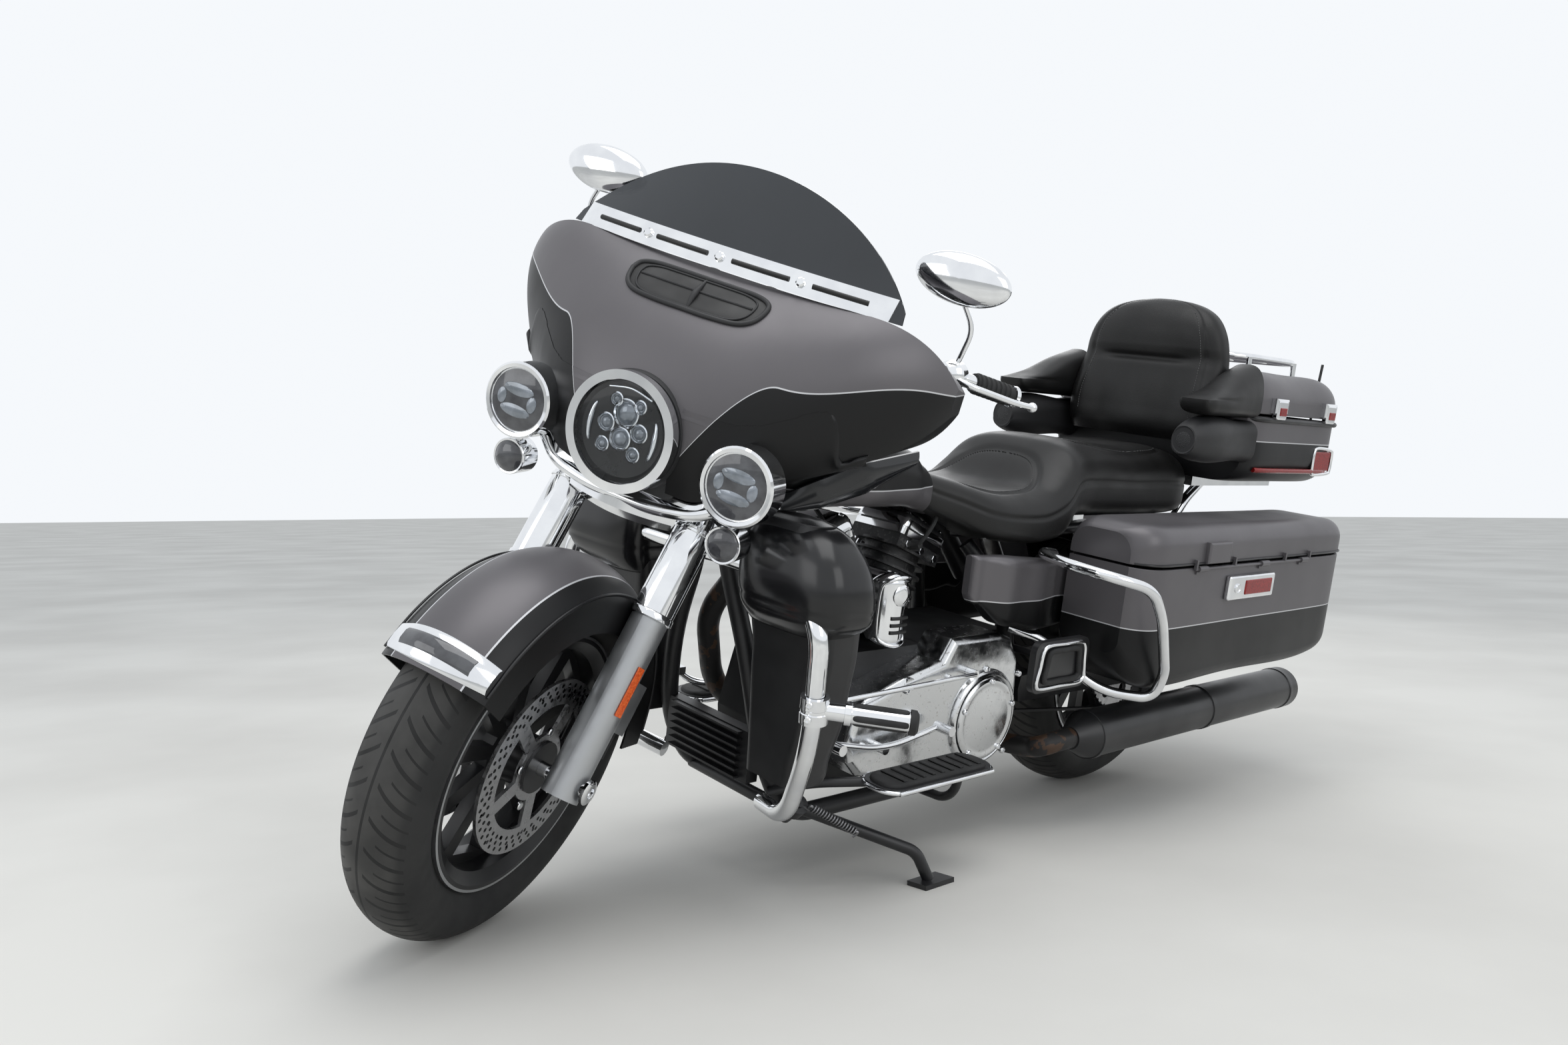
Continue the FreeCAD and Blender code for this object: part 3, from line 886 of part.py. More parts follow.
# Side stand: it is laid out on the floor, where its foot rests, and taken back into the machine's frame.
PIVOT_SPOT = Vector(1139, 184, 200)
FOOT_SPOT = Vector(922, 343, 0)
pivot_world = LEAN.multVec(PIVOT_SPOT)
leg_top = pivot_world + Vector(0, 0, 0)
knee = FOOT_SPOT + Vector(26, -12, 62)
leg_shape = fused([tube([tuple(leg_top), tuple(knee), tuple(FOOT_SPOT + Vector(4, -2, 9))], 11, 0.3),
                   Part.makeBox(78, 46, 9, FOOT_SPOT - Vector(40, 23, 0))])
leg_shape.Placement = LEAN.inverse().multiply(leg_shape.Placement)
foot_local = LEAN.inverse().multVec(FOOT_SPOT)
down = (foot_local - PIVOT_SPOT).normalize()
back = Vector(-1, 0.12, -0.03).normalize()
STAND_AXIS = down.cross(back).normalize()
STAND_ANGLE = math.degrees(down.getAngle(back))
boss_pin = Part.makeCylinder(20, 24, PIVOT_SPOT - STAND_AXIS * 12, STAND_AXIS)
pin_hole = Part.makeCylinder(8.3, 80, PIVOT_SPOT - STAND_AXIS * 40, STAND_AXIS)
stand = fused([leg_shape, boss_pin]).cut(pin_hole)
feature("side_stand", stand)
pin = Part.makeCylinder(8, 54, PIVOT_SPOT - STAND_AXIS * 38, STAND_AXIS)
pin_root = Part.makeCylinder(14, 24, PIVOT_SPOT - STAND_AXIS * 41, STAND_AXIS)
feature("frame", fused([main_frame, pin, pin_root]))

# Everything is moved so that the middle of the outline stands at the origin, on the floor.
doc.recompute()
whole = FreeCAD.BoundBox()
for item in nodes:
    whole.add(item.Shape.optimalBoundingBox(False, False))
SHIFT = Vector(-whole.Center.x, -whole.Center.y, 0)
for item in nodes:
    item.Placement = Placement(SHIFT, Rotation()).multiply(item.Placement)
doc.recompute()
os.makedirs("parts", exist_ok=True)
for item in doc.Objects:
    if {"Invalid", "Error"} & set(item.State):
        raise RuntimeError(f"{item.Name} did not recompute: {item.State}")
unsound = [item.Label for item in nodes if item.Shape.isNull() or not item.Shape.isValid() or not item.Shape.Solids]
if unsound:
    raise RuntimeError(f"not a sound solid: {unsound}")
for item in nodes:
    item.Shape.exportStep(f"parts/{item.Label}.step")
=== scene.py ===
import bpy, bmesh, json
from math import copysign, cos, exp, pi, radians, sin, sqrt
from mathutils import Matrix, Vector
from mathutils.bvhtree import BVHTree


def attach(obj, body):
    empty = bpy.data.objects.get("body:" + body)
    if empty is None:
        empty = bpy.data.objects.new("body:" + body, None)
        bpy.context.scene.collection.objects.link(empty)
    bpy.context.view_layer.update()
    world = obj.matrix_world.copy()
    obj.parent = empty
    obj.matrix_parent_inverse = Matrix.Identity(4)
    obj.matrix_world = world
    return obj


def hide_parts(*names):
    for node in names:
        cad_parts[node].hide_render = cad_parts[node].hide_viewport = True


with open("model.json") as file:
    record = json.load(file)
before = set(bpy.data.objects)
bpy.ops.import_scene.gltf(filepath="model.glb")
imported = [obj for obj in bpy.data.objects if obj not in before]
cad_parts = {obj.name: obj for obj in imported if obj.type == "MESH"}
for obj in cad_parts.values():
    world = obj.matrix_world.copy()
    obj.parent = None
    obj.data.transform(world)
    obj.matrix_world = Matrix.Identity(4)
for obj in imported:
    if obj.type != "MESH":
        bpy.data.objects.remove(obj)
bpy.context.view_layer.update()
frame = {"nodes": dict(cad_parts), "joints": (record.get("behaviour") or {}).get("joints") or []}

# The leaning machine: a touring motorcycle that rests on its side stand with its bars turned left.
# The rear wheel's pin, the box lid's hinge and the steering axis give the directions it is built in.
AXLE_HEIGHT, BARS_TURNED = 0.320, 28
AHEAD, LEFT, SIDES = (1, 0, 0), (0, 1, 0), ((1, "left"), (-1, "right"))
joints = {joint["name"]: joint for joint in frame["joints"]}
ahead = Vector(joints["tour_box_lid_hinge"]["axis"]).normalized()
leftward = Vector(joints["rear_wheel_spin"]["axis"]).normalized()
upward = ahead.cross(leftward)
ground = Vector(joints["rear_wheel_spin"]["pos_m"]) - upward * AXLE_HEIGHT
chassis = Matrix.Translation(ground) @ Matrix((ahead, leftward, upward)).transposed().to_4x4()
steer_at = Matrix.Translation(Vector(joints["steering"]["pos_m"]))
steer_turn = Matrix.Rotation(radians(BARS_TURNED), 4, Vector(joints["steering"]["axis"]))
fork = steer_at @ steer_turn @ steer_at.inverted() @ chassis


# Camera: a wide lens at chest height, ahead of the machine and to its left, tipped very slightly.
def shown(name, data):
    holder = bpy.data.objects.new(name, data)
    bpy.context.scene.collection.objects.link(holder)
    return holder


SENSOR, PHOTO_WIDTH, FOCAL = 36.0, 2352, 1776.5
camera_data = bpy.data.cameras.new("camera")
camera = shown("camera", camera_data)
camera_data.sensor_width, camera_data.lens = SENSOR, SENSOR * FOCAL / PHOTO_WIDTH
yaw, pitch, roll = radians(227.81), radians(-0.85), radians(-0.17)
look = Vector((cos(yaw) * cos(pitch), sin(yaw) * cos(pitch), sin(pitch)))
across = look.cross(Vector((0, 0, 1))).normalized()
above = across.cross(look)
across, above = across * cos(roll) + above * sin(roll), above * cos(roll) - across * sin(roll)
camera.matrix_world = (Matrix.Translation(Vector((1.9276, 1.6826, 0.6977)))
                       @ Matrix((across, above, -look)).transposed().to_4x4())
bpy.context.scene.camera = camera


# Light: an even pale sky, with one large soft panel overhead and weaker ones round the machine.
class Value:
    """A value in a shader; each sum made with it becomes a maths node."""

    def __init__(self, tree, socket):
        self.tree, self.socket = tree, socket

    def through(self, operation, *others):
        maths = self.tree.nodes.new("ShaderNodeMath")
        maths.operation = operation
        for socket, value in zip(maths.inputs, (self, *others)):
            feed(self.tree, socket, value)
        return Value(self.tree, maths.outputs[0])

    def __add__(self, other):
        return self.through("ADD", other)

    def __sub__(self, other):
        return self.through("SUBTRACT", other)

    def __rsub__(self, number):
        return self * -1 + number

    def __mul__(self, other):
        return self.through("MULTIPLY", other)

    def __pow__(self, other):
        return self.through("POWER", other)

    def __gt__(self, other):
        return self.through("GREATER_THAN", other)

    def __lt__(self, other):
        return self.through("LESS_THAN", other)

    def __abs__(self):
        return self.through("ABSOLUTE")


def feed(tree, socket, value):
    """Puts a number, a colour or another node's value on a socket."""
    if isinstance(value, Value):
        tree.links.new(value.socket, socket)
    else:
        socket.default_value = (*value, 1) if isinstance(value, tuple) else value


bpy.context.scene.view_settings.view_transform = "Standard"
bpy.context.scene.world = bpy.data.worlds.new("sky")
bpy.context.scene.world.use_nodes = True
sky = bpy.context.scene.world.node_tree
lighting, backdrop = sky.nodes["Background"], sky.nodes.new("ShaderNodeBackground")
for dome, colour, strength in ((lighting, (0.80, 0.85, 0.92), 0.92), (backdrop, (0.92, 0.945, 0.975), 1)):
    feed(sky, dome.inputs["Color"], colour)
    feed(sky, dome.inputs["Strength"], strength)
rays = sky.nodes.new("ShaderNodeLightPath").outputs
direct, clear, glossy = (Value(sky, rays[f"Is {kind} Ray"]) for kind in ("Camera", "Transmission", "Glossy"))
sky_mix = sky.nodes.new("ShaderNodeMixShader")
seen = direct.through("MAXIMUM", clear).through("MAXIMUM", glossy)
for number, source in enumerate((seen.socket, lighting.outputs[0], backdrop.outputs[0])):
    sky.links.new(source, sky_mix.inputs[number])
sky.links.new(sky_mix.outputs[0], sky.nodes["World Output"].inputs["Surface"])
for name, spot, aim, size, watts in (
        ("panel_above", (0.6, 0.9, 4.6), (0, 0, 0.5), 3.4, 74),
        ("panel_left", (0.2, 4.6, 2.4), (0, 0, 0.6), 2.6, 30),
        ("panel_front", (4.8, -0.6, 2.2), (0.4, 0, 0.6), 2.4, 24),
        ("panel_behind", (-3.8, -2.6, 3), (-0.4, 0, 0.6), 2.4, 30)):
    lamp = bpy.data.lights.new(name, "AREA")
    lamp.shape, lamp.size, lamp.energy = "SQUARE", size, watts
    panel = shown(name, lamp)
    panel.location = spot
    panel.rotation_euler = (Vector(aim) - Vector(spot)).to_track_quat("-Z", "Y").to_euler()


# Floor: pale trowelled concrete with faint stains, larger than the view.
def node(tree, kind, output, **sockets):
    made = tree.nodes.new("ShaderNode" + kind)
    for socket, value in sockets.items():
        feed(tree, made.inputs[socket.replace("_", " ")], value)
    return Value(tree, made.outputs[output])


def effect(name, outputs, **inputs):
    """An empty shared effect: a shader group with its named ends."""
    tree = bpy.data.node_groups.new(name, "ShaderNodeTree")
    for socket, value in inputs.items():
        tree.interface.new_socket(socket, in_out="INPUT", socket_type="NodeSocketFloat").default_value = value
    for socket in outputs:
        tree.interface.new_socket(socket, in_out="OUTPUT", socket_type="NodeSocketFloat")
    source = tree.nodes.new("NodeGroupInput").outputs
    given = {socket: Value(tree, source[socket]) for socket in inputs}
    return tree, given, tree.nodes.new("NodeGroupOutput").inputs


# Uneven: a soft blotch that runs between two values, for polish, dust and worn gloss.
uneven, given, result = effect("uneven", ("Value", "Grain"), Scale=8, Low=0.3, High=0.5)
blotch = node(uneven, "TexNoise", "Fac", Detail=6, Scale=given["Scale"],
              Vector=node(uneven, "TexCoord", "Object"))
feed(uneven, result["Grain"], blotch)
feed(uneven, result["Value"], node(uneven, "MapRange", "Result", Value=blotch, From_Min=0.36, From_Max=0.64,
                                   To_Min=given["Low"], To_Max=given["High"]))


def placed(made, group, **values):
    holder = made.node_tree.nodes.new("ShaderNodeGroup")
    holder.node_tree = group
    for socket, value in values.items():
        feed(made.node_tree, holder.inputs[socket], value)
    return {socket.name: Value(made.node_tree, socket) for socket in holder.outputs}


def patches(made, scale, low=0, high=1):
    return placed(made, uneven, Scale=scale, Low=low, High=high)["Value"]


def fine(made, scale):
    return placed(made, uneven, Scale=scale)["Grain"]


def put(made, **sockets):
    """Sets sockets of the material's own shader."""
    for socket, value in sockets.items():
        feed(made.node_tree, made.node_tree.nodes["Principled BSDF"].inputs[socket.replace("_", " ")], value)


def blended(made, mask, low, high):
    """A colour between two, by a mask; either may be a node's output."""
    mix = made.node_tree.nodes.new("ShaderNodeMix")
    mix.data_type = "RGBA"
    for socket, value in ((0, mask), (6, low), (7, high)):
        feed(made.node_tree, mix.inputs[socket], value)
    return Value(made.node_tree, mix.outputs[2])


def coloured(made, mask, low, high):
    put(made, Base_Color=blended(made, mask, low, high))


def relief(made, height, strength, depth):
    put(made, Normal=node(made.node_tree, "Bump", "Normal", Strength=strength, Distance=depth, Height=height))


def finish(name, slot, colour, metallic, roughness, gloss=None, mottle=None, grain=None, **sockets):
    """A material; the slot argument is not used. Gloss is a patch size with a low and a high roughness,
    mottle a patch size with two colours, grain a size with the relief's strength and depth."""
    made = bpy.data.materials.new(name)
    made.use_nodes = True
    put(made, Base_Color=colour, Metallic=metallic, Roughness=roughness, **sockets)
    if gloss:
        put(made, Roughness=patches(made, *gloss))
    if mottle:
        coloured(made, patches(made, mottle[0]), *mottle[1:])
    if grain:
        relief(made, fine(made, grain[0]), *grain[1:])
    return made


FLOOR = [(-60, -60, 0), (60, -60, 0), (60, 60, 0), (-60, 60, 0)]
concrete = finish("concrete", None, (0.66, 0.65, 0.615), 0, 0.95, Specular_IOR_Level=0.0,
                  mottle=(0.9, (0.64, 0.62, 0.575), (0.72, 0.70, 0.65)))
floor_mesh = bpy.data.meshes.new("floor")
floor_mesh.from_pydata(FLOOR, [], [(0, 1, 2, 3)])
floor_mesh.materials.append(concrete)
shown("floor", floor_mesh)

# Fairing: a moulded shell, satin pewter above and satin black below with a thin silver line between.
# The line climbs beside the headlamp and then runs level out to each tip.
PEWTER, BLACK, SILVER = (0.132, 0.125, 0.131), (0.0075, 0.0075, 0.008), (0.60, 0.60, 0.61)
LINE_WIDTH, SHADE = 0.0012, 0.86


def own_place(tree, matrix):
    """Where a point is in the upright machine's own directions: x ahead, y left and z up, in metres."""
    back, here, spot = matrix.inverted(), node(tree, "TexCoord", "Object"), []
    for row in range(3):
        dot = tree.nodes.new("ShaderNodeVectorMath")
        dot.operation = "DOT_PRODUCT"
        dot.inputs[1].default_value = back[row][:3]
        feed(tree, dot.inputs[0], here)
        spot.append(Value(tree, dot.outputs["Value"]) + back[row][3])
    return spot


def climbing(value, start, end, low, high):
    """A smooth climb from low to high while the value goes from start to end."""
    climb = value.tree.nodes.new("ShaderNodeMapRange")
    climb.interpolation_type = "SMOOTHSTEP"
    for socket, number in zip(climb.inputs, (value, start, end, low, high)):
        feed(value.tree, socket, number)
    return Value(value.tree, climb.outputs["Result"])


paint_line, given, result = effect("paint_line", ("Upper", "Line"), Offset=0, Width=LINE_WIDTH)
feed(paint_line, result["Upper"], given["Offset"] > 0)
feed(paint_line, result["Line"], abs(given["Offset"]) < given["Width"])


def two_tone(name, matrix, height, lower=BLACK):
    """Satin paint in two colours; height gives, from a point's place, how far it is above the line."""
    made = finish(name, "grey_paint", PEWTER, 0.45, 0.42, (5, 0.36, 0.46), None, (900, 0.05, 0.0004))
    mask = placed(made, paint_line, Offset=height(*own_place(made.node_tree, matrix)), Width=LINE_WIDTH)
    flop = blended(made, patches(made, 3), PEWTER, tuple(SHADE * part for part in PEWTER))
    coloured(made, mask["Line"], blended(made, mask["Upper"], lower, flop), SILVER)
    return made


def dressed(made, *names):
    for name in names:
        holder = frame["nodes"][name]
        if not holder.material_slots:
            holder.data.materials.append(made)
        for slot in holder.material_slots:
            slot.material = made


def fairing_height(x, y, z):
    return z - (climbing(abs(y), 0.020, 0.205, 0.752, 0.992) + climbing(abs(y), 0.215, 0.405, 0, 0.052))


fairing_paint = two_tone("fairing_paint", fork, fairing_height)
dressed(fairing_paint, "outer_fairing")


# Skirts: a curved panel under each half of the shell, in its paint, that closes its lower edge beside the
# headlamp. Pieces are drawn in the upright machine's millimetres, then put in place and hung on their body.
def fitted(name, shape, made, body="chassis", bevel=0.0, smooth=38):
    mesh = bpy.data.meshes.new(name)
    bmesh.ops.recalc_face_normals(shape, faces=shape.faces)
    shape.to_mesh(mesh)
    shape.free()
    mesh.transform((fork if body in ("fork", "front_wheel") else chassis) @ Matrix.Scale(0.001, 4))
    piece = shown(name, mesh)
    mesh.materials.append(made)
    for face in mesh.polygons:
        face.use_smooth = True
    if bevel:
        edge = piece.modifiers.new("edge", "BEVEL")
        edge.width, edge.segments, edge.limit_method, edge.angle_limit = bevel / 1000, 2, "ANGLE", 0.6
        edge.harden_normals = True
    mesh.set_sharp_from_angle(angle=radians(smooth))
    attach(piece, body)
    return piece


def skin(rings, ends=True, closed=True):
    """A skin over rows of points, each row as long as the next; ends and rows may be left open."""
    shape = bmesh.new()
    rows = [[shape.verts.new(point) for point in ring] for ring in rings]
    count = len(rows[0])
    for here, after in zip(rows, rows[1:]):
        for i in range(count if closed else count - 1):
            shape.faces.new((here[i], here[(i + 1) % count], after[(i + 1) % count], after[i]))
    if ends and closed:
        shape.faces.new(rows[0])
        shape.faces.new(list(reversed(rows[-1])))
    return shape


def eased(here, there, a, b, t):
    """Between two points, on the smooth line that leaves the first along a and meets the second along b."""
    return (here * (2 * t**3 - 3 * t**2 + 1) + a * (t**3 - 2 * t**2 + t)
            + there * (3 * t**2 - 2 * t**3) + b * (t**3 - t**2))


def along(rows, at):
    """Sizes between rows, eased so that no row shows as a corner."""
    rows = sorted(rows)
    at = min(max(at, rows[0][0]), rows[-1][0])
    i = max(k for k in range(len(rows) - 1) if rows[k][0] <= at)
    before, here, there, after = rows[max(i - 1, 0)], rows[i], rows[i + 1], rows[min(i + 2, len(rows) - 1)]
    span, found = there[0] - here[0], []
    for k in range(1, len(here)):
        a = (there[k] - before[k]) / max(there[0] - before[0], 1e-6) * span
        b = (after[k] - here[k]) / max(after[0] - here[0], 1e-6) * span
        found.append(eased(here[k], there[k], a, b, (at - here[0]) / span))
    return found


shell = frame["nodes"]["outer_fairing"]
shell_back = (fork @ Matrix.Scale(0.001, 4)).inverted() @ shell.matrix_world
shell_way = shell_back.inverted()


def shell_at(y, z, spare=1300.0):
    """The shell's front face at a distance from the middle and a height, felt from ahead."""
    start, aim = shell_way @ Vector((1800, y, z)), (shell_way.to_3x3() @ Vector((-1, 0, 0))).normalized()
    hit, spot = shell.ray_cast(start, aim)[:2]
    return (shell_back @ spot).x if hit else spare


SKIRT_LOW = [(84, 1468, 776), (130, 1458, 776), (180, 1432, 798), (230, 1398, 830), (290, 1350, 868),
             (346, 1300, 900)]
SKIRT_SWELL, SKIRT_THICK = Vector((9, 0, 0)), Vector((4, 0, 0))
for side, word in SIDES:
    rings = []
    for y in range(84, 345, 5):
        head = next(z for z in range(880, 1010, 3) if shell_at(side * y, z, 0) > 0) + 12
        x_low, z_low = along(SKIRT_LOW, y)
        top = Vector((shell_at(side * y, head) + 0.8, side * y, head))
        low = Vector((x_low, side * y, min(z_low, head - 4)))
        front = [top.lerp(low, j / 14) + SKIRT_SWELL * sin(pi * j / 14) for j in range(15)]
        rings.append(front + [spot - SKIRT_THICK for spot in reversed(front)])
    fitted(f"fairing_skirt_{word}", skin(rings), fairing_paint, "fork", 0, 60)


# Duct under the screen: a slotted mouth across the shell, painted near black as shade, with a lip, an upright
# rib and a shelf.
def facing(axis):
    """Two directions square to an axis; the first is level where it can be."""
    axis = Vector(axis).normalized()
    flat = Vector(LEFT) if abs(axis.y) < 0.9 else Vector(AHEAD)
    first = (flat - axis * flat.dot(axis)).normalized()
    return axis, first, axis.cross(first)


def piped(line, sizes, sides, ends=True):
    """A round bar with one ring at each point of its line."""
    rings, first = [], None
    for i, spot in enumerate(line):
        run = (line[min(i + 1, len(line) - 1)] - line[max(i - 1, 0)]).normalized()
        first = facing(run)[1] if first is None else (first - run * first.dot(run)).normalized()
        second = run.cross(first)
        rings.append([spot + (first * cos(2 * pi * k / sides) + second * sin(2 * pi * k / sides)) * sizes[i]
                      for k in range(sides)])
    return skin(rings, ends)


def swept(points, radius, sides=10, loop=False):
    """A round bar along a smooth line through its points; radius may be one number or one for each point."""
    points = [Vector(point) for point in (points + points[:1] if loop else points)]
    radii = radius if isinstance(radius, tuple) else [radius] * len(points)
    line, sizes = [], []
    for i in range(len(points) - 1):
        before, here = points[max(i - 1, 0)], points[i]
        there, after = points[i + 1], points[min(i + 2, len(points) - 1)]
        for t in [step / 8 for step in range(8)]:
            line.append(eased(here, there, (there - before) * 0.5, (after - here) * 0.5, t))
            sizes.append(radii[i] + (radii[i + 1] - radii[i]) * t)
    return piped(line + [points[-1]], sizes + [radii[-1]], sides, not loop)


# Near black, darker than the moulded trim: painted shade for the openings of the duct, the screen strip's
# slots and the horn cover's slots.
opening_shade_black = finish("opening_shade_black", "trim_plastic", (0.006, 0.006, 0.006), 0, 0.5, (12, 0.45, 0.6))
moulded = finish("moulded_black", "trim_plastic", (0.014, 0.014, 0.015), 0, 0.6, (7, 0.5, 0.66),
                 grain=(700, 0.3, 0.0004))
DUCT_MIDDLE = 1086
DUCT = [(-128, 1092), (-122, 1104), (-96, 1110), (-48, 1111), (0, 1111), (48, 1111), (96, 1110), (122, 1104),
        (128, 1092), (120, 1074), (96, 1063), (48, 1060), (0, 1060), (-48, 1060), (-96, 1063), (-120, 1074)]


def duct_line(share, out):
    spots = [(y * share, DUCT_MIDDLE + (z - DUCT_MIDDLE) * share) for y, z in DUCT]
    return [(shell_at(y, z) + out, y, z) for y, z in spots]


mouth = [duct_line(share, out) for share, out in ((1.0, 1.2), (0.9, 2.4), (0.6, 2.6), (0.02, 2.6))]
fitted("duct_mouth", skin(mouth), opening_shade_black, "fork")
fitted("duct_lip", swept(duct_line(1.0, 2.2), 4.4, loop=True), moulded, "fork")
fitted("duct_inner_lip", swept(duct_line(0.86, 3.4), 1.8, loop=True), moulded, "fork")
rib = [(shell_at(8, 1064) + 1, 8, 1064), (shell_at(6, 1086) + 6, 6, 1086), (shell_at(4, 1108) + 1, 4, 1108)]
fitted("duct_rib", swept(rib, (2.5, 6, 2.5), 12), moulded, "fork")
shelf = [(shell_at(y, 1090) + 2.4, y, 1090) for y in (-106, -60, 0, 60, 106)]
fitted("duct_shelf", swept(shelf, 2.4, 8), moulded, "fork")


# Hood and deflectors: a black ring round the headlamp, and behind each passing lamp a thin blade of smoked
# plastic on a moulded stay that runs out from the headlamp's side.
def turned(profile, spot, axis, steps=48, oval=1.0):
    """A turned piece: profile rows are (distance along the axis, radius)."""
    axis, first, second = facing(axis)
    shape, rows = bmesh.new(), []
    for turn in [radians(360 * step / steps) for step in range(steps)]:
        out = first * cos(turn) + second * sin(turn) * oval
        rows.append([shape.verts.new(Vector(spot) + axis * run + out * radius) for run, radius in profile])
    for here, after in zip(rows, rows[1:] + rows[:1]):
        for j in range(len(profile) - 1):
            shape.faces.new((here[j], here[j + 1], after[j + 1], after[j]))
    bmesh.ops.remove_doubles(shape, verts=shape.verts, dist=0.001)
    return shape


fitted("headlamp_hood", turned([(0, 86), (0, 99), (44, 100), (50, 97), (50, 90), (20, 86)], (1436, 0, 855),
                               AHEAD, 72), moulded, "fork")
deflector = finish("smoked_deflector", "smoke_screen", (0.02, 0.021, 0.023), 0, 0.12, (5, 0.08, 0.16),
                   (6, (0.016, 0.017, 0.019), (0.028, 0.029, 0.031)))
BLADE_TOP = [(1300, 208, 792), (1270, 260, 838), (1196, 312, 882), (1062, 360, 908)]
BLADE_LOW = [(1290, 216, 764), (1240, 268, 786), (1160, 316, 822), (1066, 352, 872)]
BLADE_STAY = ((1362, 142, 790), (1330, 182, 794), (1294, 214, 788), (1262, 252, 806))
BLADE_SWELL, BLADE_THICK = Vector((7, 10, 0)), Vector((4, 4, 0))
for side, word in SIDES:
    blade, flip = [], Vector((1, side, 1))
    for i in range(25):
        at = min(i / 8, 2.999)
        k, t = int(at), at - int(at)
        up, down = (Vector(line[k]).lerp(Vector(line[k + 1]), t) for line in (BLADE_TOP, BLADE_LOW))
        face = [up.lerp(down, j / 10) + BLADE_SWELL * sin(pi * j / 10) for j in range(11)]
        blade.append([spot * flip for spot in face + [spot - BLADE_THICK for spot in reversed(face)]])
    stay = [(x, side * y, z) for x, y, z in BLADE_STAY]
    fitted(f"deflector_stay_{word}", swept(stay, (7, 6, 6, 4)), moulded, "fork")
    fitted(f"air_deflector_{word}", skin(blade), deflector, "fork", 0, 50)

# Chrome plate: the ring, trim, covers and bars, with a faint haze where it is wiped and weathered.
chrome = finish("chrome_plate", "chrome_bright", (0.84, 0.85, 0.87), 1.0, 0.07, (14, 0.045, 0.12),
                (22, (0.80, 0.81, 0.83), (0.88, 0.89, 0.90)))
dressed(chrome, "fork_tubes", "headlamp", "lamp_bar", "front_lamps", "windshield_trim", "handlebar",
        "hand_controls", "engine_guard", "bag_guards", "luggage_rack", "luggage_brackets", "foot_controls",
        "front_axle", "triple_clamps", "cam_and_gear_covers", "air_cleaner", "horn_cover")

# Screen: a low arch of dark tinted plastic, held behind a chrome strip with four slots and three screws.
smoked = finish("smoked_screen", None, (0.045, 0.05, 0.056), 0, 0.05, Alpha=0.88,
                mottle=(2, (0.018, 0.021, 0.025), (0.028, 0.032, 0.037)))
dressed(smoked, "windshield")
SCREEN_ROWS, TRIM_HEIGHT = ((1130.5, 1331, 1272, 330), (1220, 1284, 1216, 318)), 1149


def screen_at(y):
    """The screen's front face along its trim strip."""
    (z0, c0, e0, h0), (z1, c1, e1, h1) = SCREEN_ROWS
    share = (TRIM_HEIGHT - z0) / (z1 - z0)
    centre, end, half = c0 + (c1 - c0) * share, e0 + (e1 - e0) * share, h0 + (h1 - h0) * share
    return centre - (centre - end) * (y / half) ** 2


# The strip's four slots are dark bars laid on it: painted shade in the openings.
for number, (start, stop) in enumerate(((-262, -168), (-128, -24), (24, 128), (168, 262))):
    line = [(screen_at(y) + 4.2, y, TRIM_HEIGHT) for y in [start + (stop - start) * i / 8 for i in range(9)]]
    fitted(f"trim_slot_{number}", swept(line, 4.6), opening_shade_black, "fork")
for number, y in enumerate((-148, 0, 148)):
    spot = (screen_at(y) + 3.6, y, TRIM_HEIGHT)
    head = turned([(0, 8.5), (4, 8.5), (6.5, 6), (7, 0)], spot, (1, 0, 0.45), 20)
    fitted(f"trim_screw_{number}", head, chrome, "fork")

# Headlamp: a chrome bucket with clear glass; inside, stacked lens bowls and side reflectors in a black bezel.
glass = finish("clear_glass", "lamp_glass", (0.92, 0.95, 0.97), 0, 0.02, IOR=1.3, Transmission_Weight=1.0)
lamp_black = finish("lamp_bezel", "lamp_glass", (0.012, 0.012, 0.013), 0, 0.3, (20, 0.22, 0.4))
bright = finish("reflector", "chrome_bright", (0.78, 0.80, 0.83), 1.0, 0.12, (30, 0.08, 0.2))
eye = finish("lens_bowl", "lamp_glass", (0.20, 0.22, 0.25), 0.3, 0.04, Coat_Weight=1.0,
             mottle=(30, (0.16, 0.18, 0.20), (0.30, 0.33, 0.37)))
LAMP = (0, 855)
WING_ANGLES = [radians(turn) for turn in range(-70, 71, 20)]
fitted("headlamp_bezel", turned([(0, 0), (0, 60), (1, 83), (7, 83.5), (9, 80), (3.5, 74), (2.5, 0)],
                                (1496.5, *LAMP), AHEAD, 64), lamp_black, "fork")
lens = fitted("headlamp_glass", turned([(0, 83.2), (2.5, 70), (4.5, 45), (5.6, 20), (6, 0)], (1509, *LAMP),
                                       AHEAD, 64), glass, "fork")
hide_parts("headlamp_lens")
BOWLS = ((0, 30, 19, 24), (0, -12, 15, 20), (-31, 6, 12, 16), (31, 6, 12, 16), (-29, -30, 9, 13),
         (29, -30, 9, 13), (-22, 47, 8, 12), (22, 47, 8, 12))
for number, (y, z, radius, rim) in enumerate(BOWLS):
    for name, made, profile in (
            ("bowl", eye, [(0, radius), (3, radius * 0.86), (5.6, radius * 0.5), (6.6, 0)]),
            ("bowl_rim", bright, [(0, rim), (3, rim), (4, rim - 2), (1.5, radius), (0, radius)])):
        fitted(f"lamp_{name}_{number}", turned(profile, (1498.5, y, LAMP[1] + z), AHEAD, 32), made, "fork")
for side in (-1, 1):
    wing = [(1499.5, side * (52 + 9 * cos(a)), LAMP[1] + 34 * sin(a)) for a in WING_ANGLES]
    fitted(f"lamp_side_reflector_{side + 1}", swept(wing, (2, 4, 5, 6, 6, 5, 4, 2)), bright, "fork")
fitted("lamp_brow", swept([(1501, -40, 918), (1502, 0, 926), (1501, 40, 918)], 2.4), bright, "fork")

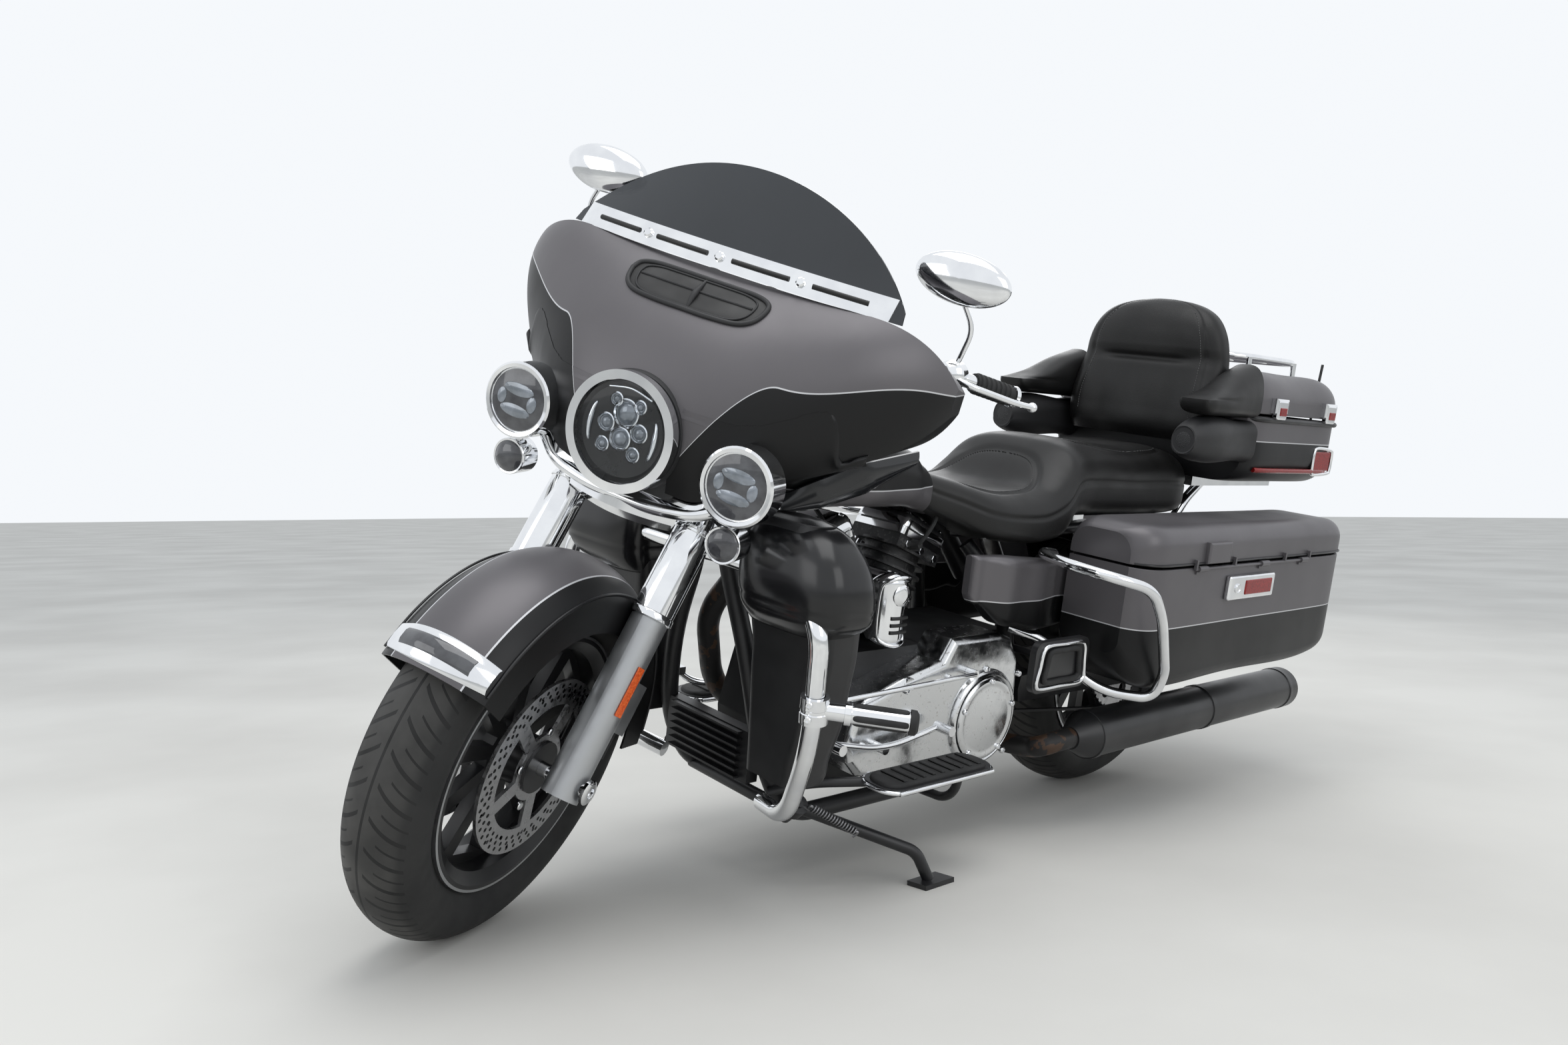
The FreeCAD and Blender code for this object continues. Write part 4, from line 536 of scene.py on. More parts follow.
# Passing lamps and signals: chrome cups with smoked faces; each passing lamp has a stack of lens bars inside.
smoked_face = finish("smoked_face", "lamp_glass", (0.06, 0.062, 0.066), 0.1, 0.07, Coat_Weight=0.6,
                     mottle=(40, (0.05, 0.05, 0.055), (0.09, 0.092, 0.098)))
PASSING_HEIGHT, SIGNAL_HEIGHT = 836, 736
for side, word in reversed(SIDES):
    y, z = side * 211, PASSING_HEIGHT
    for name, made, x, profile in (
            ("ring", chrome, 1486, [(0, 64.6), (6, 64.6), (9, 61), (8, 55), (3, 53), (0.2, 53)]),
            ("face", smoked_face, 1489.5, [(0, 54), (3.5, 40), (5, 20), (5.5, 0)])):
        fitted(f"passing_{name}_{word}", turned(profile, (x, y, z), AHEAD), made, "fork")
    bars = ((0, 18, 30, 11), (0, -18, 30, 11), (-30, 0, 9, 14), (30, 0, 9, 14))
    for number, (off, up, wide, tall) in enumerate(bars):
        bar = turned([(0, wide), (1.6, wide * 0.94), (2.6, wide * 0.6), (3, 0)], (1493.4, y + off, z + up),
                     AHEAD, 24, tall / wide)
        fitted(f"passing_bar_{word}_{number}", bar, eye, "fork")
    for name, made, x, profile in (
            ("face", smoked_face, 1479.6, [(0, 27.5), (4, 25), (8, 15), (9.5, 0)]),
            ("ring", chrome, 1479.4, [(-3, 31.4), (1, 31.4), (2.6, 30), (2, 27), (0, 26.6)])):
        fitted(f"signal_{name}_{word}", turned(profile, (x, y, SIGNAL_HEIGHT), AHEAD, 36), made, "fork")

# Nacelle: the chrome pan under the headlamp that bridges both fork covers.
pan = []
for z, x, half in ((762, 1452, 96), (748, 1470, 108), (722, 1472, 104), (704, 1452, 88)):
    pan.append([(x - 26 * (y / half) ** 2, y, z) for y in [-half + 2 * half * i / 16 for i in range(17)]])
fitted("nacelle_pan", skin(pan, closed=False), chrome, "fork")


# Inner fairing: a moulded black dash with two large dials and two small ones, each with marks and a hand.
def joined(shapes):
    whole, *others = shapes
    for shape in others:
        spare = bpy.data.meshes.new("spare")
        shape.to_mesh(spare)
        shape.free()
        whole.from_mesh(spare)
        bpy.data.meshes.remove(spare)
    return whole


dressed(moulded, "inner_fairing", "speaker_pods_and_antenna", "drive_belt")
dial_face = finish("dial_face", "lamp_glass", (0.02, 0.021, 0.023), 0, 0.35, (40, 0.3, 0.42))
BACKWARD, DASH = (-1, 0, 0), 1222.5
for number, (y, z, radius) in enumerate(((58, 1072, 46), (-58, 1072, 46), (150, 1050, 28), (-150, 1050, 28))):
    spot, ring = (DASH, y, z), radius - 12
    for name, made, profile in (
            ("rim", chrome, [(0, radius), (7, radius), (9, radius - 3), (7, radius - 6), (1, radius - 7)]),
            ("face", dial_face, [(0.4, radius - 6.5), (1.5, radius * 0.5), (1.6, 0)])):
        fitted(f"dial_{name}_{number}", turned(profile, spot, BACKWARD), made, "fork")
    marks = [turned([(0, 1.2), (0.8, 1.0), (1, 0)], (DASH - 1.6, y + ring * cos(a), z + ring * sin(a)),
                    BACKWARD, 8) for a in map(radians, range(-40, 221, 26))]
    tip = (DASH - 2.6, y + (radius - 16) * 0.7, z + (radius - 16) * 0.6)
    marks.append(swept([(DASH - 2.6, y, z), tip], 1.1, 6))
    fitted(f"dial_marks_{number}", joined(marks), bright, "fork")


# Grips: black ribbed rubber with chrome end caps. Mirrors: an oval glass in a chrome rim and a domed back.
def turns(count, start=0):
    """Angles spread evenly round a circle."""
    return [radians(start + 360 * k / count) for k in range(count)]


grip_rubber = finish("grip_rubber", "grip_rubber", (0.016, 0.016, 0.016), 0, 0.72, (24, 0.62, 0.82))
dressed(grip_rubber, "grips")
bar_out, bar_in = Vector((1010, 470, 1050)), Vector((1100, 404, 1062))
grip_run = (bar_out - bar_in).normalized()
mirror_glass = finish("mirror_glass", "chrome_bright", (0.72, 0.75, 0.78), 1.0, 0.03, (4, 0.02, 0.05))
MIRROR = (362, 1225)


def mirror_oval(side, x, half_y, half_z, count):
    return [(x, side * (MIRROR[0] + half_y * cos(a)), MIRROR[1] + half_z * sin(a)) for a in turns(count)]


for side, word in SIDES:
    flip = Vector((1, side, 1))
    rings = [turned([(-4, 17.2), (-2.6, 19.2), (2.6, 19.2), (4, 17.2)],
                    bar_in.lerp(bar_out, 0.30 + 0.105 * i) * flip, grip_run * flip, 28) for i in range(7)]
    fitted(f"grip_ribs_{word}", joined(rings), grip_rubber, "fork")
    fitted(f"grip_cap_{word}", turned([(0, 19.5), (8, 20.5), (11, 18), (12, 0)],
                                      (bar_out + grip_run * 5) * flip, grip_run * flip, 32), chrome, "fork")
    fitted(f"mirror_rim_{word}", swept(mirror_oval(side, 1137, 80, 38.5, 40), 2.4, 8, True), chrome, "fork")
    face = [mirror_oval(side, 1137.2, 78 * s, 37 * s, 40) for s in (1, 0.6, 0.02)]
    fitted(f"mirror_glass_{word}", skin(face), mirror_glass, "fork")
    shares = [sin(pi / 2 * (12 - i) / 12.0001) for i in range(12)] + [0.01]
    dome = [mirror_oval(side, 1149 + 27 * sqrt(max(1 - s * s, 0)), 85.5 * s, 43.2 * s, 48) for s in shares]
    fitted(f"mirror_back_{word}", skin(dome), chrome, "fork", 0, 60)

# Fork legs: chromed collars and covers over bare cast sliders, each with an amber strip and an axle cap.
satin_black = finish("satin_black", "black_paint", BLACK, 0, 0.36, (6, 0.3, 0.44),
                     (14, (0.008, 0.008, 0.009), (0.015, 0.015, 0.016)))
cast = finish("cast_silver", None, (0.44, 0.45, 0.46), 0.85, 0.42, (30, 0.34, 0.5), grain=(300, 0.2, 0.0005))
dressed(cast, "fork_sliders")
amber = finish("amber_strip", "lamp_red", (0.75, 0.11, 0.02), 0, 0.22,
               mottle=(300, (0.62, 0.07, 0.012), (0.85, 0.16, 0.03)))
RAKE = radians(29.25)
FRONT, REAR = (1625, 0, 320), (0, 0, 320)
leg_way = Vector((-sin(RAKE), 0, cos(RAKE)))
for side, word in SIDES:
    leg = Vector(FRONT) + Vector((0, side * 125, 0))
    for name, up, profile in (("slider_collar", 294, [(-7, 32.5), (-5, 37), (5, 37), (7, 35.5)]),
                              ("cover_band", 448, [(-3, 35.2), (-2, 37), (2, 37), (3, 35.2)])):
        fitted(f"{name}_{word}", turned(profile, leg + leg_way * up, leg_way), chrome, "fork")
    out = Vector((0.35, side * 0.94, 0)).normalized()
    wide, thick = out.cross(leg_way) * 8, out * 2.6
    strip = [[end - wide, end + wide, end + wide + thick, end - wide + thick]
             for end in (leg + leg_way * 130 + out * 32.2, leg + leg_way * 216 + out * 32.2)]
    fitted(f"side_reflector_{word}", skin(strip), amber, "fork", 1.2)
    cap = [(0, 21), (5, 21), (8, 17), (8.5, 9), (4, 8), (4, 0)]
    fitted(f"axle_cap_{word}", turned(cap, leg + Vector((0, side * 38, 0)), (0, side, 0), 32), chrome, "fork")


# Front mudguard: pewter along its crown and black down its sides, a dark bead at each edge, and near its
# front end a chrome blade with a dark lens.
def fender_height(x, y, z):
    return 0.062 - abs(y)


def on_fender(angle, y, out=0.0):
    """A point on the mudguard's outer face, at an angle up from straight ahead."""
    reach = 342 - 36 * (y / 92.7) ** 2 + out
    return (FRONT[0] + reach * cos(radians(angle)), y, FRONT[2] + reach * sin(radians(angle)))


dressed(two_tone("front_fender_paint", fork, fender_height), "front_fender")
blade = []
for y in range(-88, 89, 11):
    sag = 6 * (y / 88) ** 2 * 0.2
    row = ((41 + sag, 0.4), (42 + sag, 5.0), (46, 6.0), (49, 4.4), (50, 0.4))
    blade.append([on_fender(angle, y, out) for angle, out in row])
fitted("fender_blade", skin(blade, closed=False), chrome, "fork", 0, 60)
lens = [[on_fender(angle, y, out) for angle, out in ((43.6, 5.6), (44.6, 9.5), (47, 9.5), (48, 5.6))]
        for y in [-62 + 124 * i / 12 for i in range(13)]]
fitted("fender_tip_lens", skin(lens, closed=False), smoked_face, "fork")
for side, word in SIDES:
    line = [on_fender(angle, side * 92.4, 0.5) for angle in range(42, 190, 12)]
    fitted(f"fender_bead_{word}", swept(line, 2.0, 8), satin_black, "fork")

# Wheels: black cast spokes with machined lips, drilled discs and tyres with curved grooves; holes and grooves
# darkened with painted shade.
rim_lip, given, result = effect("rim_lip", ("Mask",), Distance=0, Inner=0.2, Outer=0.25)
feed(rim_lip, result["Mask"],
     (given["Distance"] > given["Inner"]) * (given["Distance"] < given["Outer"]))


def round_place(made, matrix, axle):
    """A point's distance from an axle, its angle round it and its distance across."""
    x, y, z = own_place(made.node_tree, matrix)
    run, rise = x - axle[0] / 1000, z - axle[2] / 1000
    return (run * run + rise * rise).through("SQRT"), rise.through("ARCTAN2", run), y


def wheel_black(name, matrix, axle, inner, outer):
    made = finish(name, None, BLACK, 0.2, 0.34, (16, 0.28, 0.4))
    away = round_place(made, matrix, axle)[0]
    lip = placed(made, rim_lip, Distance=away, Inner=inner, Outer=outer)["Mask"]
    coloured(made, lip, (0.012, 0.012, 0.013), (0.52, 0.53, 0.54))
    put(made, Metallic=lip * 0.95)
    return made


HOLES_FROM, HOLES_TO, HOLE_ROWS, HOLES_ROUND, HOLE = 0.118, 0.146, 3, 44, 0.0036


def drilled(name, matrix, axle):
    """Ground steel with holes shown as dark dots in slanting rows; the dots are painted shade where the holes
    would be open.
    """
    made = finish(name, None, (0.42, 0.42, 0.43), 1.0, 0.3, (90, 0.24, 0.42))
    away, angle = round_place(made, matrix, axle)[:2]
    shaded_holes = None
    for number in range(HOLE_ROWS):
        radius = HOLES_FROM + (HOLES_TO - HOLES_FROM) * (number + 0.5) / HOLE_ROWS
        turn = angle * (HOLES_ROUND / (2 * pi)) + (number * 0.36 + 50)
        part = (turn.through("FRACT") - 0.5) * (2 * pi * radius / HOLES_ROUND)
        off = away - radius
        dot = part * part + off * off < HOLE ** 2
        shaded_holes = shaded_holes.through("MAXIMUM", dot) if shaded_holes else dot
    # The holes are painted near black: painted shade in place of open holes.
    coloured(made, shaded_holes, (0.50, 0.50, 0.51), (0.008, 0.008, 0.008))
    return made


CROWN = 0.290


def tread(name, matrix, axle, count):
    """Tyre rubber: curved grooves across the crown, a centre groove, and dust on what meets the road; the
    grooves are also painted near black as shade.
    """
    made = finish(name, None, (0.017, 0.017, 0.017), 0, 0.8, (12, 0.62, 0.86))
    away, angle, y = round_place(made, matrix, axle)
    out, on_crown = abs(y), away > CROWN
    bent = angle * (count / (2 * pi)) + 60 + out ** 0.75 * 9
    groove = (abs(bent.through("FRACT") - 0.5) < 0.075) * (out > 0.010)
    sipe = (abs((bent + 0.5).through("FRACT") - 0.5) < 0.04) * (out > 0.026)
    groove_and_shade = groove.through("MAXIMUM", sipe).through("MAXIMUM", out < 0.0022) * on_crown
    road = climbing(away, CROWN + 0.004, CROWN + 0.016, 0, 1) * patches(made, 10, 0.35)
    wall = blended(made, patches(made, 5, 0, 0.5), (0.014, 0.014, 0.014), (0.034, 0.033, 0.031))
    # Grooves painted near black, below the rubber's own black: painted shade in the recesses.
    coloured(made, groove_and_shade, blended(made, road, wall, (0.060, 0.058, 0.054)), (0.006, 0.006, 0.006))
    relief(made, 1 - groove_and_shade, 0.9, 0.004)
    return made


dressed(wheel_black("front_rim_finish", fork, FRONT, 0.2165, 0.2300), "front_wheel_rim")
dressed(wheel_black("rear_rim_finish", chassis, REAR, 0.2065, 0.2200), "rear_wheel_rim")
dressed(drilled("front_disc_steel", fork, FRONT), "front_discs")
dressed(drilled("rear_disc_steel", chassis, REAR), "rear_disc_and_sprocket")
dressed(tread("front_tread", fork, FRONT, 40), "front_tyre")
dressed(tread("rear_tread", chassis, REAR, 36), "rear_tyre")
for side, word in SIDES:
    bolts = [turned([(0, 7), (3.5, 7), (5, 5.5), (5.2, 0)],
                    Vector(FRONT) + Vector((66 * cos(a), side * 73, 66 * sin(a))), (0, side, 0), 12)
             for a in turns(5, 18)]
    fitted(f"disc_bolts_{word}", joined(bolts), chrome, "front_wheel")

# Frame, arms, covers and calipers: satin black tube and panels, wrinkle black castings.
wrinkle = finish("wrinkle_black", None, (0.014, 0.014, 0.015), 0, 0.55, (9, 0.46, 0.64),
                 grain=(420, 0.4, 0.0006))
dressed(wrinkle, "front_calipers", "crankcase")
dressed(satin_black, "frame", "swing_arm", "rear_fender", "lower_fairings", "side_stand", "tank_console",
        "mufflers", "footboards")

# Engine: black barrels with worn fin edges, a chromed cover with screws and bolts on each head, and a rubber
# spark lead with its cap. A chrome rim, slots in painted shade and a plain boss dress the cover between the
# barrels.
worn, given, result = effect("bright_edges", ("Mask",), Grain=0.5, Wear=0.56)
feed(worn, result["Mask"], given["Grain"] > given["Wear"])


def worn_spots(made, scale, wear, low, high):
    coloured(made, placed(made, worn, Grain=fine(made, scale), Wear=wear)["Mask"], low, high)


barrel = finish("barrel_black", None, (0.016, 0.016, 0.017), 0.1, 0.5, (20, 0.42, 0.6))
worn_spots(barrel, 130, 0.6, (0.014, 0.014, 0.015), (0.045, 0.044, 0.042))
dressed(barrel, "cylinders")


def round_corner(x0, x1, y0, y1, radius):
    """The line of a rectangle with round corners."""
    centres = ((x1 - radius, y1 - radius), (x0 + radius, y1 - radius), (x0 + radius, y0 + radius),
               (x1 - radius, y0 + radius))
    return [(x + radius * cos(radians(turn)), y + radius * sin(radians(turn)))
            for corner, (x, y) in enumerate(centres) for turn in range(90 * corner, 90 * corner + 91, 15)]


CRANK, HALF_VEE = Vector((880, 0, 330)), 22.5
ROCKER_ROWS = ((338.6, 70.8, 67.8, 10), (352, 71.4, 68.4, 12), (353, 69.6, 66.6, 12), (355, 69.6, 66.6, 12),
               (356, 72, 69, 14), (370, 71, 68, 16), (381, 64, 61, 18), (386.4, 52, 50, 20), (387.4, 4, 4, 2))
for word, lean in (("front", HALF_VEE), ("rear", -HALF_VEE)):
    tip = Matrix.Translation(CRANK) @ Matrix.Rotation(radians(lean), 4, "Y")
    way = tip.to_3x3()
    rings = [[tip @ Vector((x, y, z)) for x, y in round_corner(-a, a, -b, b, radius)]
             for z, a, b, radius in ROCKER_ROWS]
    fitted(f"rocker_cover_{word}", skin(rings), chrome)
    heads = [turned([(0, 6), (5, 6), (6.4, 4.8), (6.4, 2.8), (4.2, 2.8), (4.2, 0)], tip @ Vector((x, y, 380)),
                    way @ Vector((x / 90, y / 90, 1)), 14) for x in (-54, 0, 54) for y in (-52, 52)]
    fitted(f"rocker_screws_{word}", joined(heads), chrome)
    bolts = [turned([(0, 8), (9, 8), (10, 7), (10, 0)], tip @ Vector((x, 66, 325)), way @ Vector(LEFT), 6)
             for x in (-46, 0, 46)]
    fitted(f"head_bolts_{word}", joined(bolts), chrome)
    lead = [tip @ Vector(spot) for spot in ((30, 66, 330), (34, 92, 336), (22, 96, 396), (0, 40, 430))]
    fitted(f"spark_lead_{word}", swept(lead, 4.4, 8), grip_rubber)
    cap = [(-2, 9), (0, 11), (16, 10), (26, 7), (27, 0)]
    fitted(f"spark_cap_{word}", turned(cap, tip @ Vector((28, 66, 328)), way @ Vector((0.1, 1, 0.12)), 20),
           grip_rubber)
rim = [(852, 129, 488), (852, 129, 574), (862, 146, 594), (887, 153.4, 600), (912, 146, 594), (922, 131, 574),
       (922, 131, 490), (912, 143, 470), (887, 152.6, 466), (862, 144, 470)]
fitted("horn_cover_rim", swept(rim, 4.2, loop=True), chrome)
# Dark bars for the cover's slots: painted shade in the openings.
bars = [swept([(864, 151, z), (887, 154.6, z), (908, 151.4, z)], 3.4, 8) for z in (492, 506, 520)]
fitted("horn_cover_slots", joined(bars), opening_shade_black)
fitted("horn_cover_boss", turned([(-3, 22), (1, 22), (3.4, 19), (4.4, 10), (4.6, 0)], (886, 151.4, 564), LEFT,
                                 40), chrome)

# Primary cover: pitted bright metal, with a stepped ring, a round lid and screws round both.
polished = finish("pitted_polish", "chrome_bright", (0.70, 0.71, 0.72), 1.0, 0.2, (60, 0.14, 0.28),
                  grain=(170, 0.10, 0.0005))
worn_spots(polished, 170, 0.66, (0.72, 0.73, 0.74), (0.50, 0.49, 0.48))
dressed(polished, "primary_cover")
derby = Vector((636, 187.5, 300))
fitted("clutch_ring", turned([(-6, 104), (2, 103), (9, 98), (11, 93), (9, 90), (4, 89)], derby, LEFT, 72),
       polished)
fitted("derby_cover", turned([(4, 88), (12, 88), (16, 84), (17.2, 78), (15, 73), (15.6, 66), (18, 40),
                              (19, 16), (19.2, 0)], derby, LEFT, 64), polished)
screws = [turned([(0, 6.4), (4, 6.4), (5.2, 5), (5.2, 2.6), (3, 2.6), (3, 0)],
                 derby + Vector((80.5 * cos(a), 15.5, 80.5 * sin(a))), LEFT, 16) for a in turns(5, 90)]
fitted("derby_screws", joined(screws), chrome)
spots = ((530, 382), (640, 402), (760, 398), (880, 386), (960, 352), (985, 290), (952, 226), (860, 206),
         (740, 204), (550, 216))
screws = [turned([(0, 7), (5, 7), (7, 5.4), (7.2, 3), (4, 3), (4, 0)], (x, 186.5, z), LEFT, 16)
          for x, z in spots]
fitted("primary_screws", joined(screws), chrome)
steel = finish("dull_steel", None, (0.40, 0.40, 0.41), 1.0, 0.34, (40, 0.26, 0.44),
               (36, (0.34, 0.33, 0.32), (0.46, 0.46, 0.47)))
dressed(steel, "rear_axle", "shock_absorbers")

# Exhaust: black pipes browned by heat, satin black silencers with two clamp bands and a turned end cap each.
hot = finish("heated_black", None, (0.018, 0.017, 0.017), 0.3, 0.5, (18, 0.4, 0.66))
worn_spots(hot, 26, 0.56, (0.018, 0.017, 0.017), (0.062, 0.034, 0.020))
dressed(hot, "exhaust_pipes")
END_CAP = [(-46, 52.4), (-44, 54), (-30, 54), (-28, 52.6), (-6, 53.5), (2, 49), (3, 40), (-2, 36.6),
           (-60, 36.2)]
for side, word in SIDES:
    fitted(f"muffler_cap_{word}", turned(END_CAP, (-560, side * 262, 246), BACKWARD), satin_black)
    for number, x in enumerate((352, -120)):
        band = turned([(-9, 52.3), (-8, 54.2), (8, 54.2), (9, 52.3)], (x, side * 262, 246), AHEAD)
        fitted(f"muffler_band_{word}_{number}", band, satin_black)

# Highway pegs: a split chrome clamp on each guard tube carries a peg with four rubber strips, a chrome collar
# and a rubber end cap.
PEG_OUT, UP = 14.2, Vector((0, 0, 1))
for side, word in SIDES:
    flip = Vector((1, side, 1))
    root, tip = Vector((1291, 354, 455)) * flip, Vector((1180, 466, 452)) * flip
    out, run = (tip - root).normalized(), (tip - root).length
    tube_way = (Vector((1304, 362, 580)) - Vector((1286, 350, 400))).normalized() * flip
    clamp = [(-23, 17), (-22, 23.6), (-4, 24.2), (-2, 22.4), (2, 22.4), (4, 24.2), (22, 23.6), (23, 17)]
    fitted(f"peg_clamp_{word}", turned(clamp, root, tube_way, 36), chrome)
    screws = [turned([(0, 6), (5, 6), (6.4, 4.6), (6.4, 2.6), (4, 2.6), (4, 0)],
                     root + Vector((20, side * 10, z)), (0.9, side * 0.45, 0), 14) for z in (-12, 12)]
    fitted(f"peg_clamp_screws_{word}", joined(screws), chrome)
    for number, turn in enumerate(turns(4, 8)):
        away = (UP * cos(turn) + out.cross(UP) * sin(turn)) * PEG_OUT
        line = [root + out * (run - back) + away for back in (96, 88, 50, 14, 8)]
        fitted(f"peg_rubber_{word}_{number}", swept(line, (2, 5.4, 5.8, 5.4, 2), 12), grip_rubber)
    collar = turned([(-6, 15.2), (-5, 19), (5, 19), (6, 15.2)], root + out * (run - 104), out, 32)
    fitted(f"peg_collar_{word}", collar, chrome)
    fitted(f"peg_cap_{word}", turned([(-7, 16), (-6, 20.6), (3, 20), (7, 15), (8, 0)], tip, out, 32),
           grip_rubber)


# Lower fairings: a glossy bowl over the top of each guard tube, with a seam near its foot.
def squared(value, power):
    """A power that keeps the sign, for lines between a round and a square."""
    return copysign(abs(value) ** power, value)


gloss_black = finish("gloss_black", "black_paint", (0.006, 0.006, 0.0065), 0, 0.2, (5, 0.14, 0.24),
                     (9, (0.005, 0.005, 0.0055), (0.010, 0.010, 0.011)))
BOWL = [(560, 1180, 1296, 158, 340), (574, 1180, 1310, 154, 366), (592, 1180, 1322, 150, 384),
        (630, 1184, 1329, 146, 390), (676, 1192, 1325, 146, 378), (708, 1204, 1312, 150, 354),
        (730, 1220, 1292, 160, 322), (742, 1238, 1272, 180, 282), (745, 1248, 1262, 200, 262)]
for side, word in SIDES:
    rings = []
    for z in [560 + 185 * sin(pi / 2 * i / 60) for i in range(61)]:
        rear, front, inner, outer = along(BOWL, z)
        seam = 2.6 * exp(-((z - 606) / 2.6) ** 2)
        half_x, half_y = (front - rear) / 2 - seam, (outer - inner) / 2 - seam
        rings.append([((rear + front) / 2 + half_x * squared(cos(a), 0.6),
                       side * ((inner + outer) / 2 + half_y * squared(sin(a), 0.6)), z) for a in turns(96)])
    fitted(f"lower_fairing_bowl_{word}", skin(rings), gloss_black, smooth=60)


# Rider's boards: a chrome rim and a ribbed rubber pad on the cast tray. The passenger's fold up against the
# bags, each with a chrome edge and a rubber ring.
def slab(low, high):
    """A block between two corners; its edges are eased when it is fitted."""
    (x0, x1), (y0, y1), (z0, z1) = (sorted(pair) for pair in zip(low, high))
    return skin([[(x, y0, z0), (x, y1, z0), (x, y1, z1), (x, y0, z1)] for x in (x0, x1)])


def cornered(spots, shares):
    """A loop's points, spread along each of its straight sides."""
    return [Vector(a).lerp(Vector(b), t) for a, b in zip(spots, spots[1:] + spots[:1]) for t in shares]


BOARD = (900, 284)
RIM_LINE, PAD_LINE = round_corner(749, 1051, 237, 331, 40), round_corner(758, 1042, 246, 322, 34)
FOLDED, FOLDED_X, FOLDED_Z = ((460, 390), (474, 478), (612, 478), (628, 390)), 544, 433
for side, word in SIDES:
    fitted(f"board_rim_{word}", swept([(x, side * y, 256) for x, y in RIM_LINE], 4.2, loop=True), chrome)
    pad = [[(BOARD[0] + (x - BOARD[0]) * s, side * (BOARD[1] + (y - BOARD[1]) * s), z) for x, y in PAD_LINE]
           for s, z in ((1, 262), (0.99, 266), (0.96, 267.5), (0.02, 267.5))]
    fitted(f"board_pad_{word}", skin(pad), grip_rubber, smooth=60)
    ribs = [slab((x - 5, side * 254, 267), (x + 5, side * 314, 271)) for x in range(790, 1020, 26)]
    fitted(f"board_ribs_{word}", joined(ribs), grip_rubber, bevel=2)
    for number, (grow, made, y, radius) in enumerate(((1.0, chrome, 302, 4.5), (0.72, grip_rubber, 303, 6))):
        ring = [(FOLDED_X + (x - FOLDED_X) * grow, side * y, FOLDED_Z + (z - FOLDED_Z) * grow)
                for x, z in FOLDED]
        line = cornered(ring, (0.12, 0.5, 0.88))
        fitted(f"passenger_board_{word}_{number}", swept(line, radius, loop=True), made)

# Side stand: a coiled steel return spring between two hooks beside the bent bar; it rides with the stand.
stand_spring = finish("spring_steel", "steel_dark", (0.30, 0.30, 0.31), 1.0, 0.4, (30, 0.32, 0.5))
COILS_FROM, COILS_RUN, COIL_RADIUS, COIL_STEPS = 26, 92, 6.4, 160
pivot, foot = Vector((1139, 184, 200)), chassis.inverted() @ Vector((0.2731, 0.2552, 0.004)) * 1000
down = (foot - pivot).normalized()
side_way = down.cross(Vector(AHEAD)).normalized()
coil = []
for i in range(COIL_STEPS + 1):
    turn = 2 * pi * i / 10
    spot = pivot + down * (COILS_FROM + COILS_RUN * i / COIL_STEPS) + side_way * -19
    coil.append(spot + (side_way * cos(turn) + side_way.cross(down) * sin(turn)) * COIL_RADIUS)
fitted("stand_spring", piped(coil, [1.5] * len(coil), 6), stand_spring, "stand")
for number, (reach, bend) in enumerate(((20, 6), (122, -6))):
    hook = [pivot + down * reach - side_way * 4, pivot + down * reach - side_way * 20,
            pivot + down * (reach + bend) - side_way * 20]
    fitted(f"stand_spring_hook_{number}", swept(hook, 2.6, 8), stand_spring, "stand")


# Tank: pewter with a black band along its side between two silver lines; a chrome screw cap on the console.
def tank_band(x, y, z):
    return abs(z - 0.809) - 0.040


def level(height, rise=0.0):
    return lambda x, y, z: z - (x * rise + height)


dressed(two_tone("tank_paint", chassis, tank_band), "fuel_tank")
fitted("fuel_cap", turned([(0, 34), (5, 36), (9, 34), (10.5, 28), (9.5, 24), (11, 10), (11.2, 0)],
                          (1020, 0, 892), (-0.05, 0, 1)), chrome)
dressed(two_tone("side_cover_paint", chassis, level(0.535, 0.02)), "side_covers")


# Seat: one moulded foam pad under stretched black leather, with a dished place for the rider, a raised lip
# behind it and a flat pillion; both places are edged by a sewn groove with a row of stitches beside it.
def pored(made, scale, strength, depth):
    """A relief of small cells; returns how far a point is from the nearest cell's middle."""
    cells = node(made.node_tree, "TexVoronoi", "Distance", Scale=scale,
                 Vector=node(made.node_tree, "TexCoord", "Object"))
    relief(made, cells, strength, depth)
    return cells


leather = finish("seat_leather", "seat_leather", (0.009, 0.0088, 0.0088), 0, 0.4, (9, 0.33, 0.5),
                 (5, (0.006, 0.0059, 0.0059), (0.013, 0.0127, 0.0125)), Specular_IOR_Level=0.34)
pored(leather, 480, 0.24, 0.0006)
thread = finish("seat_thread", "seat_leather", (0.05, 0.05, 0.05), 0, 0.7,
                mottle=(400, (0.07, 0.07, 0.07), (0.13, 0.128, 0.124)))
SEAT_ROWS = [(-102, 156, 706, 858), (-20, 176, 703, 868), (60, 175, 702, 869), (140, 172, 702, 866),
             (300, 168, 702, 872), (380, 180, 698, 866), (430, 191, 660, 824), (476, 191, 652, 790),
             (520, 190, 650, 776), (600, 181, 655, 772), (660, 168, 664, 778), (720, 138, 690, 790),
             (780, 106, 716, 800), (838, 64, 744, 820)]
SEAT_BACK, SEAT_FRONT, SEAT_STEPS, TOP_POINTS, LOW_POINTS = -102, 838, 290, 100, 50
RIDER_RING, PILLION_RING, RING_POWER = (566, 150, 134), (118, 186, 128), 3.0


def soft_step(value, low, high):
    t = min(max((value - low) / (high - low), 0), 1)
    return t * t * (3 - 2 * t)


def rounded(end, least):
    """How much of its full size a pad has near its end, where end runs from 0 to 1."""
    return 1 if end >= 1 else sqrt(max(1 - (1 - end) ** 2, 0)) * (1 - least) + least


def ring_gap(x, y, cx, a, b):
    """How far a point is from a rounded-rectangle line, roughly, in millimetres."""
    reach = (abs((x - cx) / a) ** RING_POWER + abs(y / b) ** RING_POWER) ** (1 / RING_POWER)
    return (reach - 1) * min(a, b)


